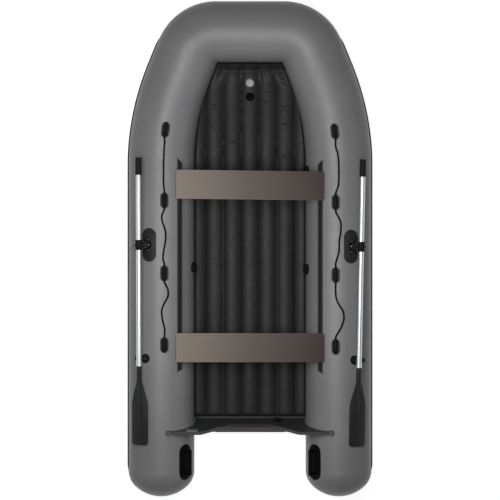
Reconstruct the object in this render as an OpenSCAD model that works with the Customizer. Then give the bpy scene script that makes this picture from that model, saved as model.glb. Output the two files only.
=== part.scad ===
// Inflatable dinghy with a raised bow, air floor, plywood transom, bench seats and oars.
// Millimetres. +X is starboard, +Y is the bow, +Z is up. The tubes rest on z = 0.
// Port pieces are drawn first and starboard pieces are their mirror images.

/* [Hull tubes] */
// Overall length, from the bow tube to the stern domes
hull_length = 3214; // [3000:2:3400]
// Distance from the centre line to each side tube's axis
tube_offset = 579; // [540:1:620]
// Radius of the side tubes
tube_r = 215; // [200:1:225]
// Tube radius at the bow corners
corner_r = 203; // [190:1:210]
// Radius of the cross tube at the bow
bow_r = 195; // [182:1:205]
// Height that the bow tube is raised by
bow_rise = 150; // [80:5:200]
// Radius of the shoulder's centre line, seen from above
shoulder_r = 1495; // [1350:5:1650]
// Angle that each shoulder turns through
shoulder_angle = 22.7; // [19:0.1:26]
// Straight run between shoulder and bow corner
shoulder_run = 165; // [130:5:200]
// Radius of the inner bow corner, seen from above
corner_pivot_r = 6; // [4:1:15]
// Length of a stern dome
dome_l = 170; // [150:5:190]
// Radius of the knuckle where a stern dome leaves its tube
knuckle_r = 140; // [110:5:145]
// Thickness of the coated tube fabric
tube_wall = 1.2; // [0.9:0.1:2]
// Distance from the bow valve back to the chamber baffle
baffle_back = 71.5; // [60:0.5:150]
// Height of the rubbing strake
strake_h = 56; // [30:2:80]
// Thickness of the rubbing strake
strake_t = 7; // [4:0.5:12]

/* [Air floor] */
// Distance between neighbouring floor ribs
rib_pitch = 117; // [100:1:130]
// Height of a rib above its troughs
rib_h = 20; // [10:1:30]
// Depth that the underside swells below its edge at the keel
keel_depth = 18; // [5:1:25]
// Length of the flat flange behind the ribs
floor_flange = 10; // [6:1:20]
// Thickness of that flange
flange_t = 10; // [6:1:16]

/* [Transom] */
// Thickness of the transom board
transom_t = 20; // [16:1:28]
// Angle that the transom leans aft
transom_rake = 10.5; // [8:0.5:14]
// Distance from the stern domes forward to the transom's front face, at floor height
transom_in = 325.5; // [300:0.5:350]
// Height of the transom's shoulders above the tubes
transom_over = 7; // [2:1:40]
// Depth of the motor notch below the shoulders
notch_depth = 72; // [50:1:100]
// Width of the notch at its bottom
notch_w = 450; // [380:10:520]
// Height of the motor clamp pads
clamp_pad_h = 90; // [60:5:120]
// Thickness of the motor clamp pads
clamp_pad_t = 5; // [3:0.5:8]
// Radius of the clamp pad bolts
pad_bolt_r = 4; // [3:0.5:6]
// Sideways place of the drain
drain_x = 178; // [120:2:220]

/* [Seats] */
// Distance that a seat board's end reaches past its slider
seat_over = 4; // [0.5:0.5:10]
// Width of a seat board, fore and aft
seat_w = 185; // [160:5:220]
// Thickness of a seat board
seat_t = 18; // [12:1:24]
// Distance from the tracks' front end back to the front seat's middle
seat_front_back = 176; // [150:2:210]
// Distance from the tracks' aft end forward to the aft seat's middle
seat_aft_fore = 158; // [130:2:190]
// Skew of the front seat in its tracks
seat_front_skew = -0.75; // [-1:0.05:1]
// Thickness of the seat track's base
track_t = 5; // [3:0.5:7]
// Distance that the tracks' tips run past the bow seam
track_past = 33; // [20:1:36]
// Length of the seat tracks
track_l = 1378; // [1350:2:1400]
// Roll of the track's bead from the tube's crown
track_roll = 37; // [35:0.5:39]

/* [Lifelines] */
// Diameter of the rope
rope_d = 12; // [8:0.5:13]
// Width of a fairlead
fairlead_w = 54; // [46:1:62]
// Length of a fairlead
fairlead_l = 103; // [90:1:115]

/* [Oars] */
// Radius of the oar shaft
shaft_r = 17; // [14:0.5:19]
// Wall of the oar shaft
shaft_wall = 1.5; // [1:0.1:2.5]
// Height of the oar's axis above the side tube, at the collar
oar_over = 53; // [47:1:65]
// Distance from the tube's axis out to the oarlock's swing axis
swing_out = 87; // [80:1:95]
// Distance from the swing axis out to the oar's axis
collar_out = 45; // [42:1:52]
// Place of the oarlock along the boat
oar_y = 36; // [0:1:60]
// Tilt of the stowed oar, blade end down
oar_tilt = 3; // [2.8:0.1:4]
// Angle that the stowed starboard oar is turned inwards by
starboard_yaw = 0.93; // [0:0.01:1]
// Distance from the collar to the grip's end
grip_end = 557; // [520:1:580]
// Length of the grip
grip_l = 111; // [90:1:140]
// Distance from the collar to the shaft's lower end
shaft_end = 777; // [740:1:800]
// Distance from the collar to the blade's tip
blade_end = 1286; // [1250:1:1310]
// Width of the blade
blade_w = 113; // [100:1:120]
// Thickness of the blade
blade_t = 6; // [4:0.5:8]
// Roll of the blade, inner edge up
blade_roll = 25; // [20:1:30]

/* [Fittings] */
// Shift of the starboard fittings along the boat
starboard_shift = -11; // [-15:1:0]
// Radius of a tube valve's cap
valve_cap_r = 31; // [28:0.5:34]
// Radius of the floor valve's cap
floor_cap_r = 25; // [23:0.5:28]
// Travel of a valve's plunger
plunger_travel = 5; // [3:0.5:6]
// Length of a stern handle's pad
handle_l = 232; // [200:2:250]
// Width of a stern handle's pad, measured over the tube
handle_w = 104; // [90:1:116]
// Height of the finger gap under a stern handle
finger_gap = 30; // [24:1:36]

/* [Hidden] */
// Clearance between a glued piece and the tube under it
glue_gap = 0.3;
// Clearance of the floor's straight facets from the round tubes
floor_gap = 0.8;
// Clearance between sliding faces
slide_gap = 0.4;
// Radial clearance of a running fit
run_gap = 0.05;
// Sides of a lofted tube
sides = 36;
// Sides of a rope
rope_sides = 8;
// Facets of small round pieces
fine = 64;

// Plan of the bow: shoulder arc, straight run, then a fan round the inner corner
turn = 90 - shoulder_angle;
corner_y = hull_length / 2 - 2 * bow_r - corner_pivot_r;
bow_y = corner_y + corner_pivot_r + bow_r;
lead_y = corner_y + (corner_r + corner_pivot_r) * sin(shoulder_angle);
arc_end_y = lead_y - shoulder_run * cos(shoulder_angle);
shoulder_y = arc_end_y - shoulder_r * sin(shoulder_angle);
arc_end_x = -tube_offset + shoulder_r * (1 - cos(shoulder_angle));
lead_x = arc_end_x + shoulder_run * sin(shoulder_angle);
corner_x = lead_x + (corner_r + corner_pivot_r) * cos(shoulder_angle);
stern_y = dome_l - hull_length / 2;
transom_y = stern_y + transom_in;
arc_l = shoulder_r * shoulder_angle * PI / 180;
lead_l = arc_l + shoulder_run;
fan_l = (bow_r + corner_pivot_r) * turn * PI / 180;
path_l = lead_l + fan_l;

function smooth(t) = t * t * (3 - 2 * t);
function clamp01(t) = min(1, max(0, t));
function mix(a, b, t) = a + (b - a) * t;
function rise_at(s) = bow_rise * smooth(clamp01(s / path_l));
function radius_at(s) = s <= lead_l
    ? mix(tube_r, corner_r, smooth(clamp01(s / lead_l)))
    : mix(corner_r, bow_r, clamp01((s - lead_l) / fan_l));
function fan_angle(s) = shoulder_angle + turn * (s - lead_l) / fan_l;
function fan_reach(s) = corner_pivot_r + radius_at(s);

// Yaw of the port tube's axis at distance s past the bow seam; aft of it s is negative
function yaw_at(s) = s <= 0 ? 0
    : s <= arc_l ? s / shoulder_r * 180 / PI
    : s <= lead_l ? shoulder_angle
    : fan_angle(s);
function pitch_at(s) = atan((rise_at(s + 1) - rise_at(s - 1)) / 2);
function axis_x(s) = s <= 0 ? -tube_offset
    : s <= arc_l ? -tube_offset + shoulder_r * (1 - cos(yaw_at(s)))
    : s <= lead_l ? arc_end_x + (s - arc_l) * sin(shoulder_angle)
    : corner_x - fan_reach(s) * cos(fan_angle(s));
function axis_y(s) = s <= 0 ? shoulder_y + s
    : s <= arc_l ? shoulder_y + shoulder_r * sin(yaw_at(s))
    : s <= lead_l ? arc_end_y + (s - arc_l) * cos(shoulder_angle)
    : corner_y + fan_reach(s) * sin(fan_angle(s));
function axis_z(s) = tube_r + rise_at(s);

// Point on the tube's section at s: turn 0 is outboard, 90 is the crown, 180 is inboard
function skin_point(s, angle, proud) =
    let (reach = (radius_at(s) + proud) * cos(angle))
    [axis_x(s) - reach * cos(yaw_at(s)),
     axis_y(s) + reach * sin(yaw_at(s)),
     axis_z(s) + (radius_at(s) + proud) * sin(angle)];
function skin_ring(s, proud) =
    [for (i = [0 : sides - 1]) skin_point(s, 360 * i / sides, proud)];
function steps(from, to, count) = [for (i = [0 : count]) mix(from, to, i / count)];

// Faces of a grid of rings with n points each, closed round the ring
function wrap_faces(rings, n, start, flip) =
    [for (j = [0 : rings - 2], i = [0 : n - 1])
        let (a = start + j * n + i, b = start + j * n + (i + 1) % n)
        each flip ? [[a, b, a + n], [b, b + n, a + n]] : [[a, a + n, b], [b, a + n, b + n]]];
// Ring-shaped end face between an outer ring and the inner ring
function annulus_faces(outer, inner, n, flip) =
    [for (i = [0 : n - 1])
        let (k = (i + 1) % n)
        each flip
            ? [[outer + i, inner + i, outer + k], [outer + k, inner + i, inner + k]]
            : [[outer + i, outer + k, inner + i], [outer + k, inner + k, inner + i]]];

// Open-ended fabric tube through the given places along the path
module fabric_tube(places) {
    rings = len(places);
    half = rings * sides;
    last = (rings - 1) * sides;
    polyhedron(
        points = concat([for (s = places) each skin_ring(s, 0)],
                        [for (s = places) each skin_ring(s, -tube_wall)]),
        faces = concat(wrap_faces(rings, sides, 0, false),
                       wrap_faces(rings, sides, half, true),
                       annulus_faces(0, half, sides, false),
                       annulus_faces(last, half + last, sides, true)));
}

// Solid bar through a list of rings of n points, with flat ends
module bar(rings, n) {
    last = (len(rings) - 1) * n;
    polyhedron(
        points = [for (r = rings) each r],
        faces = concat(wrap_faces(len(rings), n, 0, false),
                       [for (i = [1 : n - 2]) [0, i, i + 1]],
                       [for (i = [1 : n - 2]) [last, last + i + 1, last + i]]));
}

module starboard() mirror([1, 0, 0]) children();
module starboard_fitting() translate([0, starboard_shift, 0]) starboard() children();

// Children sit on the straight port tube: tilt is from the crown, positive inboard
module on_tube(y, tilt)
    translate([-tube_offset, y, tube_r]) rotate([0, tilt, 0]) translate([0, 0, tube_r]) children();
// The same on the curved path, at s past the bow seam and across inboard of the crown
function inboard_angle(s, across) = asin(across / radius_at(s));
module on_path(s, across)
    translate(skin_point(s, 90 + inboard_angle(s, across), 0))
        rotate([0, 0, -yaw_at(s)]) rotate([pitch_at(s), 0, 0]) rotate([0, inboard_angle(s, across), 0])
            children();
// Cylinder along the port tube, as a cutter
module tube_core(proud, from, to)
    translate([-tube_offset, from, tube_r]) rotate([-90, 0, 0])
        cylinder(r = tube_r + proud, h = to - from, $fn = 128);

function arc_points(cx, cy, r, from, to, count) =
    [for (i = [0 : count]) let (a = mix(from, to, i / count)) [cx + r * cos(a), cy + r * sin(a)]];
function stadium_points(w, l) =
    concat(arc_points(0, l / 2 - w / 2, w / 2, 0, 180, 14),
           arc_points(0, w / 2 - l / 2, w / 2, 180, 360, 14));
function rounded_points(w, l, r) =
    concat(arc_points(w / 2 - r, l / 2 - r, r, 0, 90, 6),
           arc_points(r - w / 2, l / 2 - r, r, 90, 180, 6),
           arc_points(r - w / 2, r - l / 2, r, 180, 270, 6),
           arc_points(w / 2 - r, r - l / 2, r, 270, 360, 6));
module stadium(w, l) polygon(stadium_points(w, l));

// Hull tubes

// Places of the tube valves along the port and starboard tubes
valve_side_y = -110;
valve_bow_back = 33.5;
valve_bow_y = shoulder_y - valve_bow_back;
valve_tilt = 73;
valve_hole_r = 22;
valve_barrel_r = 20;

module valve_hole(y)
    on_tube(y, valve_tilt) translate([0, 0, -valve_hole_r]) cylinder(r = valve_hole_r, h = 60, $fn = 48);

// Half profile of a stern dome, grown by proud: a knuckle arc that runs into a flatter crown arc
knuckle_x = tube_r - knuckle_r;
crown_lift = dome_l - knuckle_r;
crown_back = (knuckle_x * knuckle_x - crown_lift * crown_lift) / (2 * crown_lift);
dome_far = 3 * tube_r;
// Point beyond the dome on the line through both arcs' centres
dome_split = [4 * knuckle_x, -3 * crown_back];
module dome_profile(proud) {
    intersection() {
        translate([0, crown_back]) circle(r = dome_l + crown_back + proud, $fn = 128);
        polygon([[0, 0], [knuckle_x, 0], dome_split, [0, -dome_far]]);
    }
    intersection() {
        translate([knuckle_x, 0]) circle(r = knuckle_r + proud, $fn = 128);
        polygon([[knuckle_x, 0], [dome_far, 0], dome_split]);
    }
}
// Shell round a tube of length l and its dome, between two heights over the skin
module stern_layer(low, high, l)
    translate([-tube_offset, stern_y, tube_r]) rotate([-90, 0, 0]) rotate_extrude($fn = 128) {
        translate([tube_r + low, 0]) square([high - low, l]);
        difference() {
            dome_profile(high);
            dome_profile(low);
        }
    }
module side_shell() stern_layer(-tube_wall, 0, shoulder_y - stern_y);
module side_tube_port() color("dimgray") difference() {
    side_shell();
    valve_hole(valve_side_y);
}
module side_tube_starboard() color("dimgray") difference() {
    starboard() side_shell();
    starboard_fitting() {
        valve_hole(valve_side_y);
        valve_hole(valve_bow_y);
    }
}

shoulder_steps = 9;
fan_steps = 9;
shoulder_places = concat(steps(0, arc_l, shoulder_steps), [lead_l]);
fan_places = steps(lead_l, path_l, fan_steps);
module shoulder() fabric_tube(shoulder_places);
module bow_shoulder_port() color("dimgray") shoulder();
module bow_shoulder_starboard() color("dimgray") starboard() shoulder();
module corner() fabric_tube(fan_places);
module bow_corner_port() color("dimgray") corner();
module bow_corner_starboard() color("dimgray") starboard() corner();

// The cross tube has the same facets as the corners that it meets
module cross_section(proud)
    polygon([for (i = [0 : sides - 1])
        let (t = i / sides * 360) (bow_r + proud) * [cos(t), sin(t)]]);
module bow_tube() color("dimgray")
    translate([corner_x, bow_y, tube_r + bow_rise]) rotate([90, 0, 90])
        linear_extrude(-2 * corner_x) difference() {
            cross_section(0);
            cross_section(-tube_wall);
        }

module chamber_baffle()
    translate([-tube_offset, valve_bow_y - baffle_back, tube_r]) rotate([-90, 0, 0])
        cylinder(r = tube_r - tube_wall - glue_gap, h = tube_wall, $fn = 128);
module chamber_baffles() color("gray") {
    chamber_baffle();
    starboard() chamber_baffle();
}

// The strake is a moulded strip: flat ends, a round nose and a back that fits the tube
strake_half = asin(strake_h / 2 / tube_r);
strake_gap = 0.6;
strake_steps = 6;
strake_places = concat([stern_y - shoulder_y], shoulder_places);
function strake_ring(s) = concat(
    [skin_point(s, -strake_half * 0.8, strake_t * 0.7),
     skin_point(s, -strake_half * 0.35, strake_t),
     skin_point(s, strake_half * 0.35, strake_t),
     skin_point(s, strake_half * 0.8, strake_t * 0.7)],
    [for (a = steps(strake_half, -strake_half, strake_steps)) skin_point(s, a, strake_gap)]);
module strake() bar([for (s = strake_places) strake_ring(s)], strake_steps + 5);
module rubbing_strake_port() color("#202224") strake();
module rubbing_strake_starboard() color("#202224") starboard() strake();

// Air floor

// The floor is glued to the tubes between these angles below the inner equator
edge_top = 15;
edge_low = 50;
edge_steps = 5;
rib_steps = 3;
rib_side = floor((tube_offset - tube_r * cos(edge_top)) / (rib_pitch / 2 / rib_steps));
squeeze = 0.8;
// Ribs fade out over this distance from the floor's edge
rib_fade = 15;
// Distance from the transom's foot to the flange
flange_fore = 6;
floor_aft = transom_y + flange_fore;
rib_aft = floor_aft + floor_flange;
rib_end_l = 24;
// Angles of the flange behind the ribs, and its distance from the tubes
flange_top = 22;
flange_low = asin(sin(flange_top) + flange_t / tube_r);
flange_inset = 6;

function edge_point(s, angle, full) = skin_point(s, 180 + angle, floor_gap + flange_inset * (1 - full));
// Ribs: a round crown between sharp troughs
function rib_wave(x) = pow(abs(cos(180 * x / rib_pitch)), 0.6);
function top_x(i, edge) =
    let (x = i * rib_pitch / 2 / rib_steps, far = edge - squeeze * (rib_side + 1 - abs(i)))
    sign(i) * min(abs(x), far);
// Section of the floor at s; full is 1 over the ribs and 0 on the flange
function floor_row(s, full) = let (
    top_a = mix(flange_top, edge_top, full),
    low_a = mix(flange_low, edge_low, full),
    top = edge_point(s, top_a, full),
    low = edge_point(s, low_a, full),
    side = [for (k = [1 : edge_steps - 1]) edge_point(s, mix(top_a, low_a, k / edge_steps), full)])
    concat(
        [top],
        [for (i = [-rib_side : rib_side]) let (x = top_x(i, -top.x))
            [x, top.y, top.z + full * rib_h * (rib_wave(x) - 0.5) * clamp01((-top.x - abs(x)) / rib_fade)]],
        [[-top.x, top.y, top.z]],
        [for (p = side) [-p.x, p.y, p.z]],
        [[-low.x, low.y, low.z]],
        [for (i = [rib_side : -1 : -rib_side]) let (x = top_x(i, -low.x))
            [x, low.y, low.z - full * (keel_depth * (1 + abs(x) / low.x) - rib_h / 4 * (1 - rib_wave(x)))]],
        [low],
        [for (k = [len(side) - 1 : -1 : 0]) side[k]]);
floor_n = 2 * (2 * rib_side + 3) + 2 * (edge_steps - 1);
floor_front_back = 12;
front_squeeze = 0.96;
front_squeeze_low = 0.8;
front_lift = 0.8;
floor_front = bow_y - (bow_r + floor_gap) * cos(edge_top) - floor_front_back;
floor_front_low = bow_y - (bow_r + floor_gap) * cos(edge_low) - floor_front_back;
// The front row stands against the cross tube
function front_row() = let (
    row = floor_row(lead_l, 1),
    z = front_lift * (rise_at(path_l) - rise_at(lead_l)),
    top_z = edge_point(lead_l, edge_top, 1).z,
    low_z = edge_point(lead_l, edge_low, 1).z)
    [for (p = row) let (t = clamp01((top_z - p.z) / (top_z - low_z)))
        [p.x * mix(front_squeeze, front_squeeze_low, t), mix(floor_front, floor_front_low, t), p.z + z]];
// Half way along the straight run, between the sections at its ends
function run_row() = (floor_row(arc_l, 1) + floor_row(lead_l, 1)) / 2;
floor_rows = concat(
    [floor_row(floor_aft - shoulder_y, 0), floor_row(rib_aft - shoulder_y, 0),
     floor_row(rib_aft + rib_end_l / 4 - shoulder_y, 0.75),
     floor_row(rib_aft + rib_end_l - shoulder_y, 1)],
    [for (s = steps(0, arc_l, shoulder_steps)) floor_row(s, 1)],
    [run_row(), front_row()]);
function crown_at(row) = let (p = floor_rows[row][rib_side + 1]) [p.y, p.z];
floor_crown = [for (i = [0 : len(floor_rows) - 1]) crown_at(i)];
// End face as a strip of quads between the top and the underside; low places are counted back
floor_top_n = 2 * rib_side + 3;
floor_low = floor_top_n + edge_steps - 1;
function floor_cap(start) = [for (j = [0 : floor_top_n - 2])
        let (a = start + j, b = start + floor_low + floor_top_n - 1 - j)
        each [[a, a + 1, b - 1], [a, b - 1, b]]];
function side_cap(start) = let (right = start + floor_top_n - 1, left = start + floor_low + floor_top_n - 1)
    concat([for (k = [1 : edge_steps - 1]) [right, right + k, right + k + 1]],
           [for (k = [1 : edge_steps - 2]) [left, left + k, left + k + 1]],
           [[left, left + edge_steps - 1, start]]);
function reversed(faces) = [for (f = faces) [f[0], f[2], f[1]]];
module floor_form() let (last = (len(floor_rows) - 1) * floor_n)
    polyhedron(
        points = [for (r = floor_rows) each r],
        faces = concat(wrap_faces(len(floor_rows), floor_n, 0, false), floor_cap(0), side_cap(0),
                       reversed(floor_cap(last)), reversed(side_cap(last))));

// Transom

transom_foot_z = 150;
transom_z = 2 * tube_r + transom_over;
notch_z = transom_z - notch_depth;
// Top of the floor's flange, which the pieces in front of the board keep clear of
flange_z = edge_point(floor_aft - shoulder_y, flange_top, 0).z;
// Length of the tube cutters to each side of the board
cutter_reach = 200;
transom_low_z = 72;
wing_tip_x = tube_offset - 42;
wing_r = 14;
notch_slope_w = 105;
rake_l = 1 / cos(transom_rake);
// Frame of the board: its front face is y = 0 and its height is measured along the rake
module on_transom() translate([0, transom_y, transom_foot_z]) rotate([transom_rake, 0, 0]) children();
function board_z(z) = (z - transom_foot_z) * rake_l;
// Plate in the board's plane, from front to aft, measured from the board's front face
module plate(front, aft) translate([0, front, 0]) rotate([90, 0, 0]) linear_extrude(front - aft) children();
function notch_edge(side) = [for (i = [0 : 8]) let (t = side > 0 ? i / 8 : 1 - i / 8)
    [side * (notch_w / 2 + notch_slope_w * t), mix(board_z(notch_z), board_z(transom_z), smooth(t))]];
module transom_outline() polygon(concat(
    [[-tube_offset + 60, board_z(transom_low_z)], [tube_offset - 60, board_z(transom_low_z)]],
    arc_points(wing_tip_x - wing_r, board_z(transom_z) - wing_r, wing_r, 0, 90, 6),
    [for (i = [8 : -1 : 0]) notch_edge(1)[i]],
    [for (i = [8 : -1 : 0]) notch_edge(-1)[i]],
    arc_points(wing_r - wing_tip_x, board_z(transom_z) - wing_r, wing_r, 90, 180, 6)));
drain_over = 60;
drain_z = flange_z + drain_over;
drain_r = 19;
drain_flange_r = 27;
drain_cap_r = 24;
pad_bolt_x = 150;
pad_bolt_drop = 30;
pad_top_gap = 6;
module pad_bolt_places() for (x = [-pad_bolt_x, pad_bolt_x])
    translate([x, 0, board_z(notch_z) - pad_top_gap - pad_bolt_drop]) rotate([90, 0, 0]) children();
pad_head_r = 2 * pad_bolt_r;
pad_head_h = pad_head_r - pad_bolt_r;
pad_head_sink = 0.2;
bolt_from = pad_head_sink - clamp_pad_t;
bolt_to = transom_t + clamp_pad_t - pad_head_sink;
// Bolt round its own axis, with a countersunk head just below each pad's face
module pad_bolt() rotate_extrude($fn = 32)
    polygon([[0, bolt_from], [pad_head_r, bolt_from], [pad_bolt_r, bolt_from + pad_head_h],
             [pad_bolt_r, bolt_to - pad_head_h], [pad_head_r, bolt_to], [0, bolt_to]]);
// Its hole, whose countersinks run out past the pads' faces
module pad_bolt_hole() let (r = pad_bolt_r + glue_gap, wide = r + pad_head_h + 1)
    rotate_extrude($fn = 32)
        polygon([[0, bolt_from - 1], [wide, bolt_from - 1], [r, bolt_from + pad_head_h],
                 [r, bolt_to - pad_head_h], [wide, bolt_to + 1], [0, bolt_to + 1]]);
module transom_board() color("#26282a") difference() {
    on_transom() plate(0, -transom_t) transom_outline();
    tube_core(glue_gap, transom_y - cutter_reach, transom_y + cutter_reach);
    starboard() tube_core(glue_gap, transom_y - cutter_reach, transom_y + cutter_reach);
    on_transom() {
        translate([drain_x, 1, board_z(drain_z)]) rotate([90, 0, 0])
            cylinder(r = drain_r + glue_gap, h = transom_t + 2, $fn = fine);
        pad_bolt_places() pad_bolt_hole();
    }
}
clamp_pad_low_w = 250;
module clamp_pad(front) on_transom() difference() {
    plate(front, front - clamp_pad_t)
        polygon([[-notch_w / 2, board_z(notch_z) - pad_top_gap],
                 [notch_w / 2, board_z(notch_z) - pad_top_gap],
                 [clamp_pad_low_w / 2, board_z(notch_z) - clamp_pad_h],
                 [-clamp_pad_low_w / 2, board_z(notch_z) - clamp_pad_h]]);
    pad_bolt_places() pad_bolt_hole();
}
module inner_clamp_pad() color("#55504b") clamp_pad(clamp_pad_t);
module outer_clamp_pad() color("#55504b") clamp_pad(-transom_t);
module clamp_pad_bolts() color("silver") on_transom() pad_bolt_places() pad_bolt();

// Each holder is a pair of fabric corner strips, glued to the tube before and behind the board
holder_t = 5;
holder_w = 20;
holder_in = 46;
// The front strip starts above the floor's edge
holder_over = 32;
holder_front_z = flange_z + holder_over;
module holder_band(from_z)
    translate([holder_in - tube_offset, 0, board_z(from_z)])
        cube([tube_r, holder_w, board_z(transom_z) - board_z(from_z) - 1]);
module holder_pair() difference() {
    intersection() {
        tube_core(glue_gap + holder_t, transom_y - cutter_reach, transom_y + cutter_reach);
        on_transom() {
            translate([0, glue_gap, 0]) holder_band(holder_front_z);
            translate([0, -transom_t - holder_w - glue_gap, 0]) holder_band(transom_low_z);
        }
    }
    tube_core(glue_gap, transom_y - cutter_reach, transom_y + cutter_reach);
}
module transom_holder_port() color("dimgray") holder_pair();
module transom_holder_starboard() color("dimgray") starboard() holder_pair();

drain_flange_t = 4;
drain_neck = 8;
drain_out = 4;
drain_wall = 4;
drain_tab_h = 8;
drain_tab_t = 6;
drain_cap_t = 5;
module on_drain() on_transom() translate([drain_x, 0, board_z(drain_z)]) rotate([-90, 0, 0]) children();
module drain_body() color("#141516") on_drain() difference() {
    union() {
        cylinder(r = drain_flange_r, h = drain_flange_t, $fn = fine);
        translate([0, 0, -transom_t - drain_out])
            cylinder(r = drain_r, h = transom_t + drain_out + drain_flange_t + drain_neck, $fn = fine);
    }
    translate([0, 0, -transom_t - drain_out - 1])
        cylinder(r = drain_r - drain_wall, h = 2 * transom_t, $fn = fine);
}
module drain_cap() color("#0f1011") on_drain() difference() {
    translate([0, 0, drain_flange_t + slide_gap]) union() {
        cylinder(r = drain_cap_r, h = drain_neck + drain_cap_t, $fn = fine);
        translate([-drain_cap_r * 0.8, -drain_tab_t / 2, drain_neck + drain_cap_t - 1])
            cube([drain_cap_r * 1.6, drain_tab_t, drain_tab_h]);
    }
    translate([0, 0, drain_flange_t - 1]) cylinder(r = drain_r + run_gap, h = drain_neck + 1.5, $fn = fine);
}

// Valves

neck_h = 9;
valve_flange_r = 34;
valve_flange_t = 3.5;
valve_barrel_l = 44;
valve_bore_r = 14;
stem_r = 5;
web_z = -24;
web_t = 4;
// Valve body round its own axis; the barrel reaches depth below the skin
module valve_body(flange_r, neck_r, depth) difference() {
    translate([0, 0, glue_gap]) union() {
        cylinder(r = flange_r, h = valve_flange_t, $fn = fine);
        translate([0, 0, -depth]) cylinder(r = neck_r, h = depth + neck_h, $fn = fine);
    }
    difference() {
        translate([0, 0, -depth - 1]) cylinder(r = valve_bore_r, h = depth + neck_h + 2, $fn = fine);
        translate([0, 0, web_z]) cylinder(r = valve_bore_r + 1, h = web_t, $fn = fine);
    }
    translate([0, 0, web_z - 1]) cylinder(r = stem_r + run_gap, h = web_t + 2, $fn = 32);
    for (a = [0 : 120 : 240]) rotate([0, 0, a]) translate([9.5, 0, web_z - 1])
        cylinder(r = 2.2, h = web_t + 2, $fn = 24);
}
module valve_cap(cap_r, neck_r) translate([0, 0, glue_gap + valve_flange_t + slide_gap]) difference() {
    union() {
        cylinder(r = cap_r, h = neck_h + 4, $fn = fine);
        translate([0, 0, neck_h + 4]) cylinder(r1 = cap_r - 1, r2 = cap_r - 4, h = 3, $fn = fine);
        for (a = [0 : 30 : 330]) rotate([0, 0, a]) translate([cap_r - 0.8, 0, 0])
            cylinder(r = 1.6, h = neck_h + 2, $fn = 16);
    }
    translate([0, 0, -1]) cylinder(r = neck_r + run_gap, h = neck_h - valve_flange_t + 2, $fn = fine);
}
// The plunger's button stands under the cap and its seal disc closes the barrel from below
module valve_plunger() {
    translate([0, 0, web_z - plunger_travel - 5]) cylinder(r = stem_r, h = 29, $fn = 32);
    translate([0, 0, web_z + web_t + plunger_travel + 2]) cylinder(r = 10, h = 4, $fn = fine);
    translate([0, 0, web_z - plunger_travel - 8]) cylinder(r = valve_bore_r - 1, h = 3, $fn = fine);
}
module tube_valve() valve_body(valve_flange_r, valve_barrel_r, valve_barrel_l);
module port_valve() on_tube(valve_side_y, valve_tilt) children();
module starboard_valve() starboard_fitting() on_tube(valve_side_y, valve_tilt) children();
module bow_valve() starboard_fitting() on_tube(valve_bow_y, valve_tilt) children();
module tube_valve_bodies() color("#17181a") {
    port_valve() tube_valve();
    starboard_valve() tube_valve();
    bow_valve() tube_valve();
}
module port_valve_cap() color("#0e0f10") port_valve() valve_cap(valve_cap_r, valve_barrel_r);
module starboard_valve_cap() color("#0e0f10") starboard_valve() valve_cap(valve_cap_r, valve_barrel_r);
module bow_valve_cap() color("#0e0f10") bow_valve() valve_cap(valve_cap_r, valve_barrel_r);
module port_valve_plunger() color("gainsboro") port_valve() valve_plunger();
module starboard_valve_plunger() color("gainsboro") starboard_valve() valve_plunger();
module bow_valve_plunger() color("gainsboro") bow_valve() valve_plunger();

// Fittings on the floor stand on the middle rib
floor_valve_back = 120;
relief_valve_back = 209;
floor_valve_y = corner_y - floor_valve_back;
relief_valve_y = corner_y - relief_valve_back;
relief_r = 28;
function floor_z(y) = lookup(y, floor_crown);
function floor_pitch(y) = atan((floor_z(y + 20) - floor_z(y - 20)) / 40);
module on_floor(y) translate([0, y, floor_z(y)]) rotate([floor_pitch(y), 0, 0]) children();
floor_neck_r = 17;
floor_pocket_gap = 3;
module air_floor() color("#1d1f21") difference() {
    floor_form();
    on_floor(floor_valve_y) translate([0, 0, -valve_barrel_l - floor_pocket_gap])
        cylinder(r = floor_neck_r + floor_pocket_gap, h = valve_barrel_l + rib_h, $fn = fine);
}
module floor_valve_body() color("#8d9092") on_floor(floor_valve_y)
    valve_body(floor_cap_r + 3, floor_neck_r, valve_barrel_l);
module floor_valve_cap() color("#b9bcbe") on_floor(floor_valve_y) valve_cap(floor_cap_r, floor_neck_r);
module floor_valve_plunger() color("gainsboro") on_floor(floor_valve_y) valve_plunger();
module relief_valve() color("#101112") on_floor(relief_valve_y) translate([0, 0, glue_gap]) {
    cylinder(r = relief_r, h = 4, $fn = fine);
    difference() {
        cylinder(r1 = relief_r - 4, r2 = relief_r - 9, h = 12, $fn = fine);
        for (a = [0 : 45 : 315]) rotate([0, 0, a]) translate([relief_r - 12, -1.5, 7]) cube([20, 3, 10]);
    }
}

// Seats and tracks

bead_neck_w = 5;
bead_neck_h = 4;
bead_head_w = 12;
bead_head_t = 4.5;
track_from = track_roll - 6;
track_to = track_roll + 8;
track_face = tube_r + glue_gap + track_t;
seat_lift = 6;
seat_under = track_face * cos(track_from) + seat_lift;
slider_l = 120;
slider_x = tube_offset - track_face * sin(track_roll);
slider_edge = 1;
slider_out = tube_offset - (track_face + slide_gap) * sin(track_from - slider_edge);
seat_l = 2 * (slider_out + seat_over);
track_front = shoulder_y + track_past;
seat_front_y = track_front - seat_front_back;
seat_aft_y = track_front - track_l + seat_aft_fore;
seat_corner_r = 13;

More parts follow.
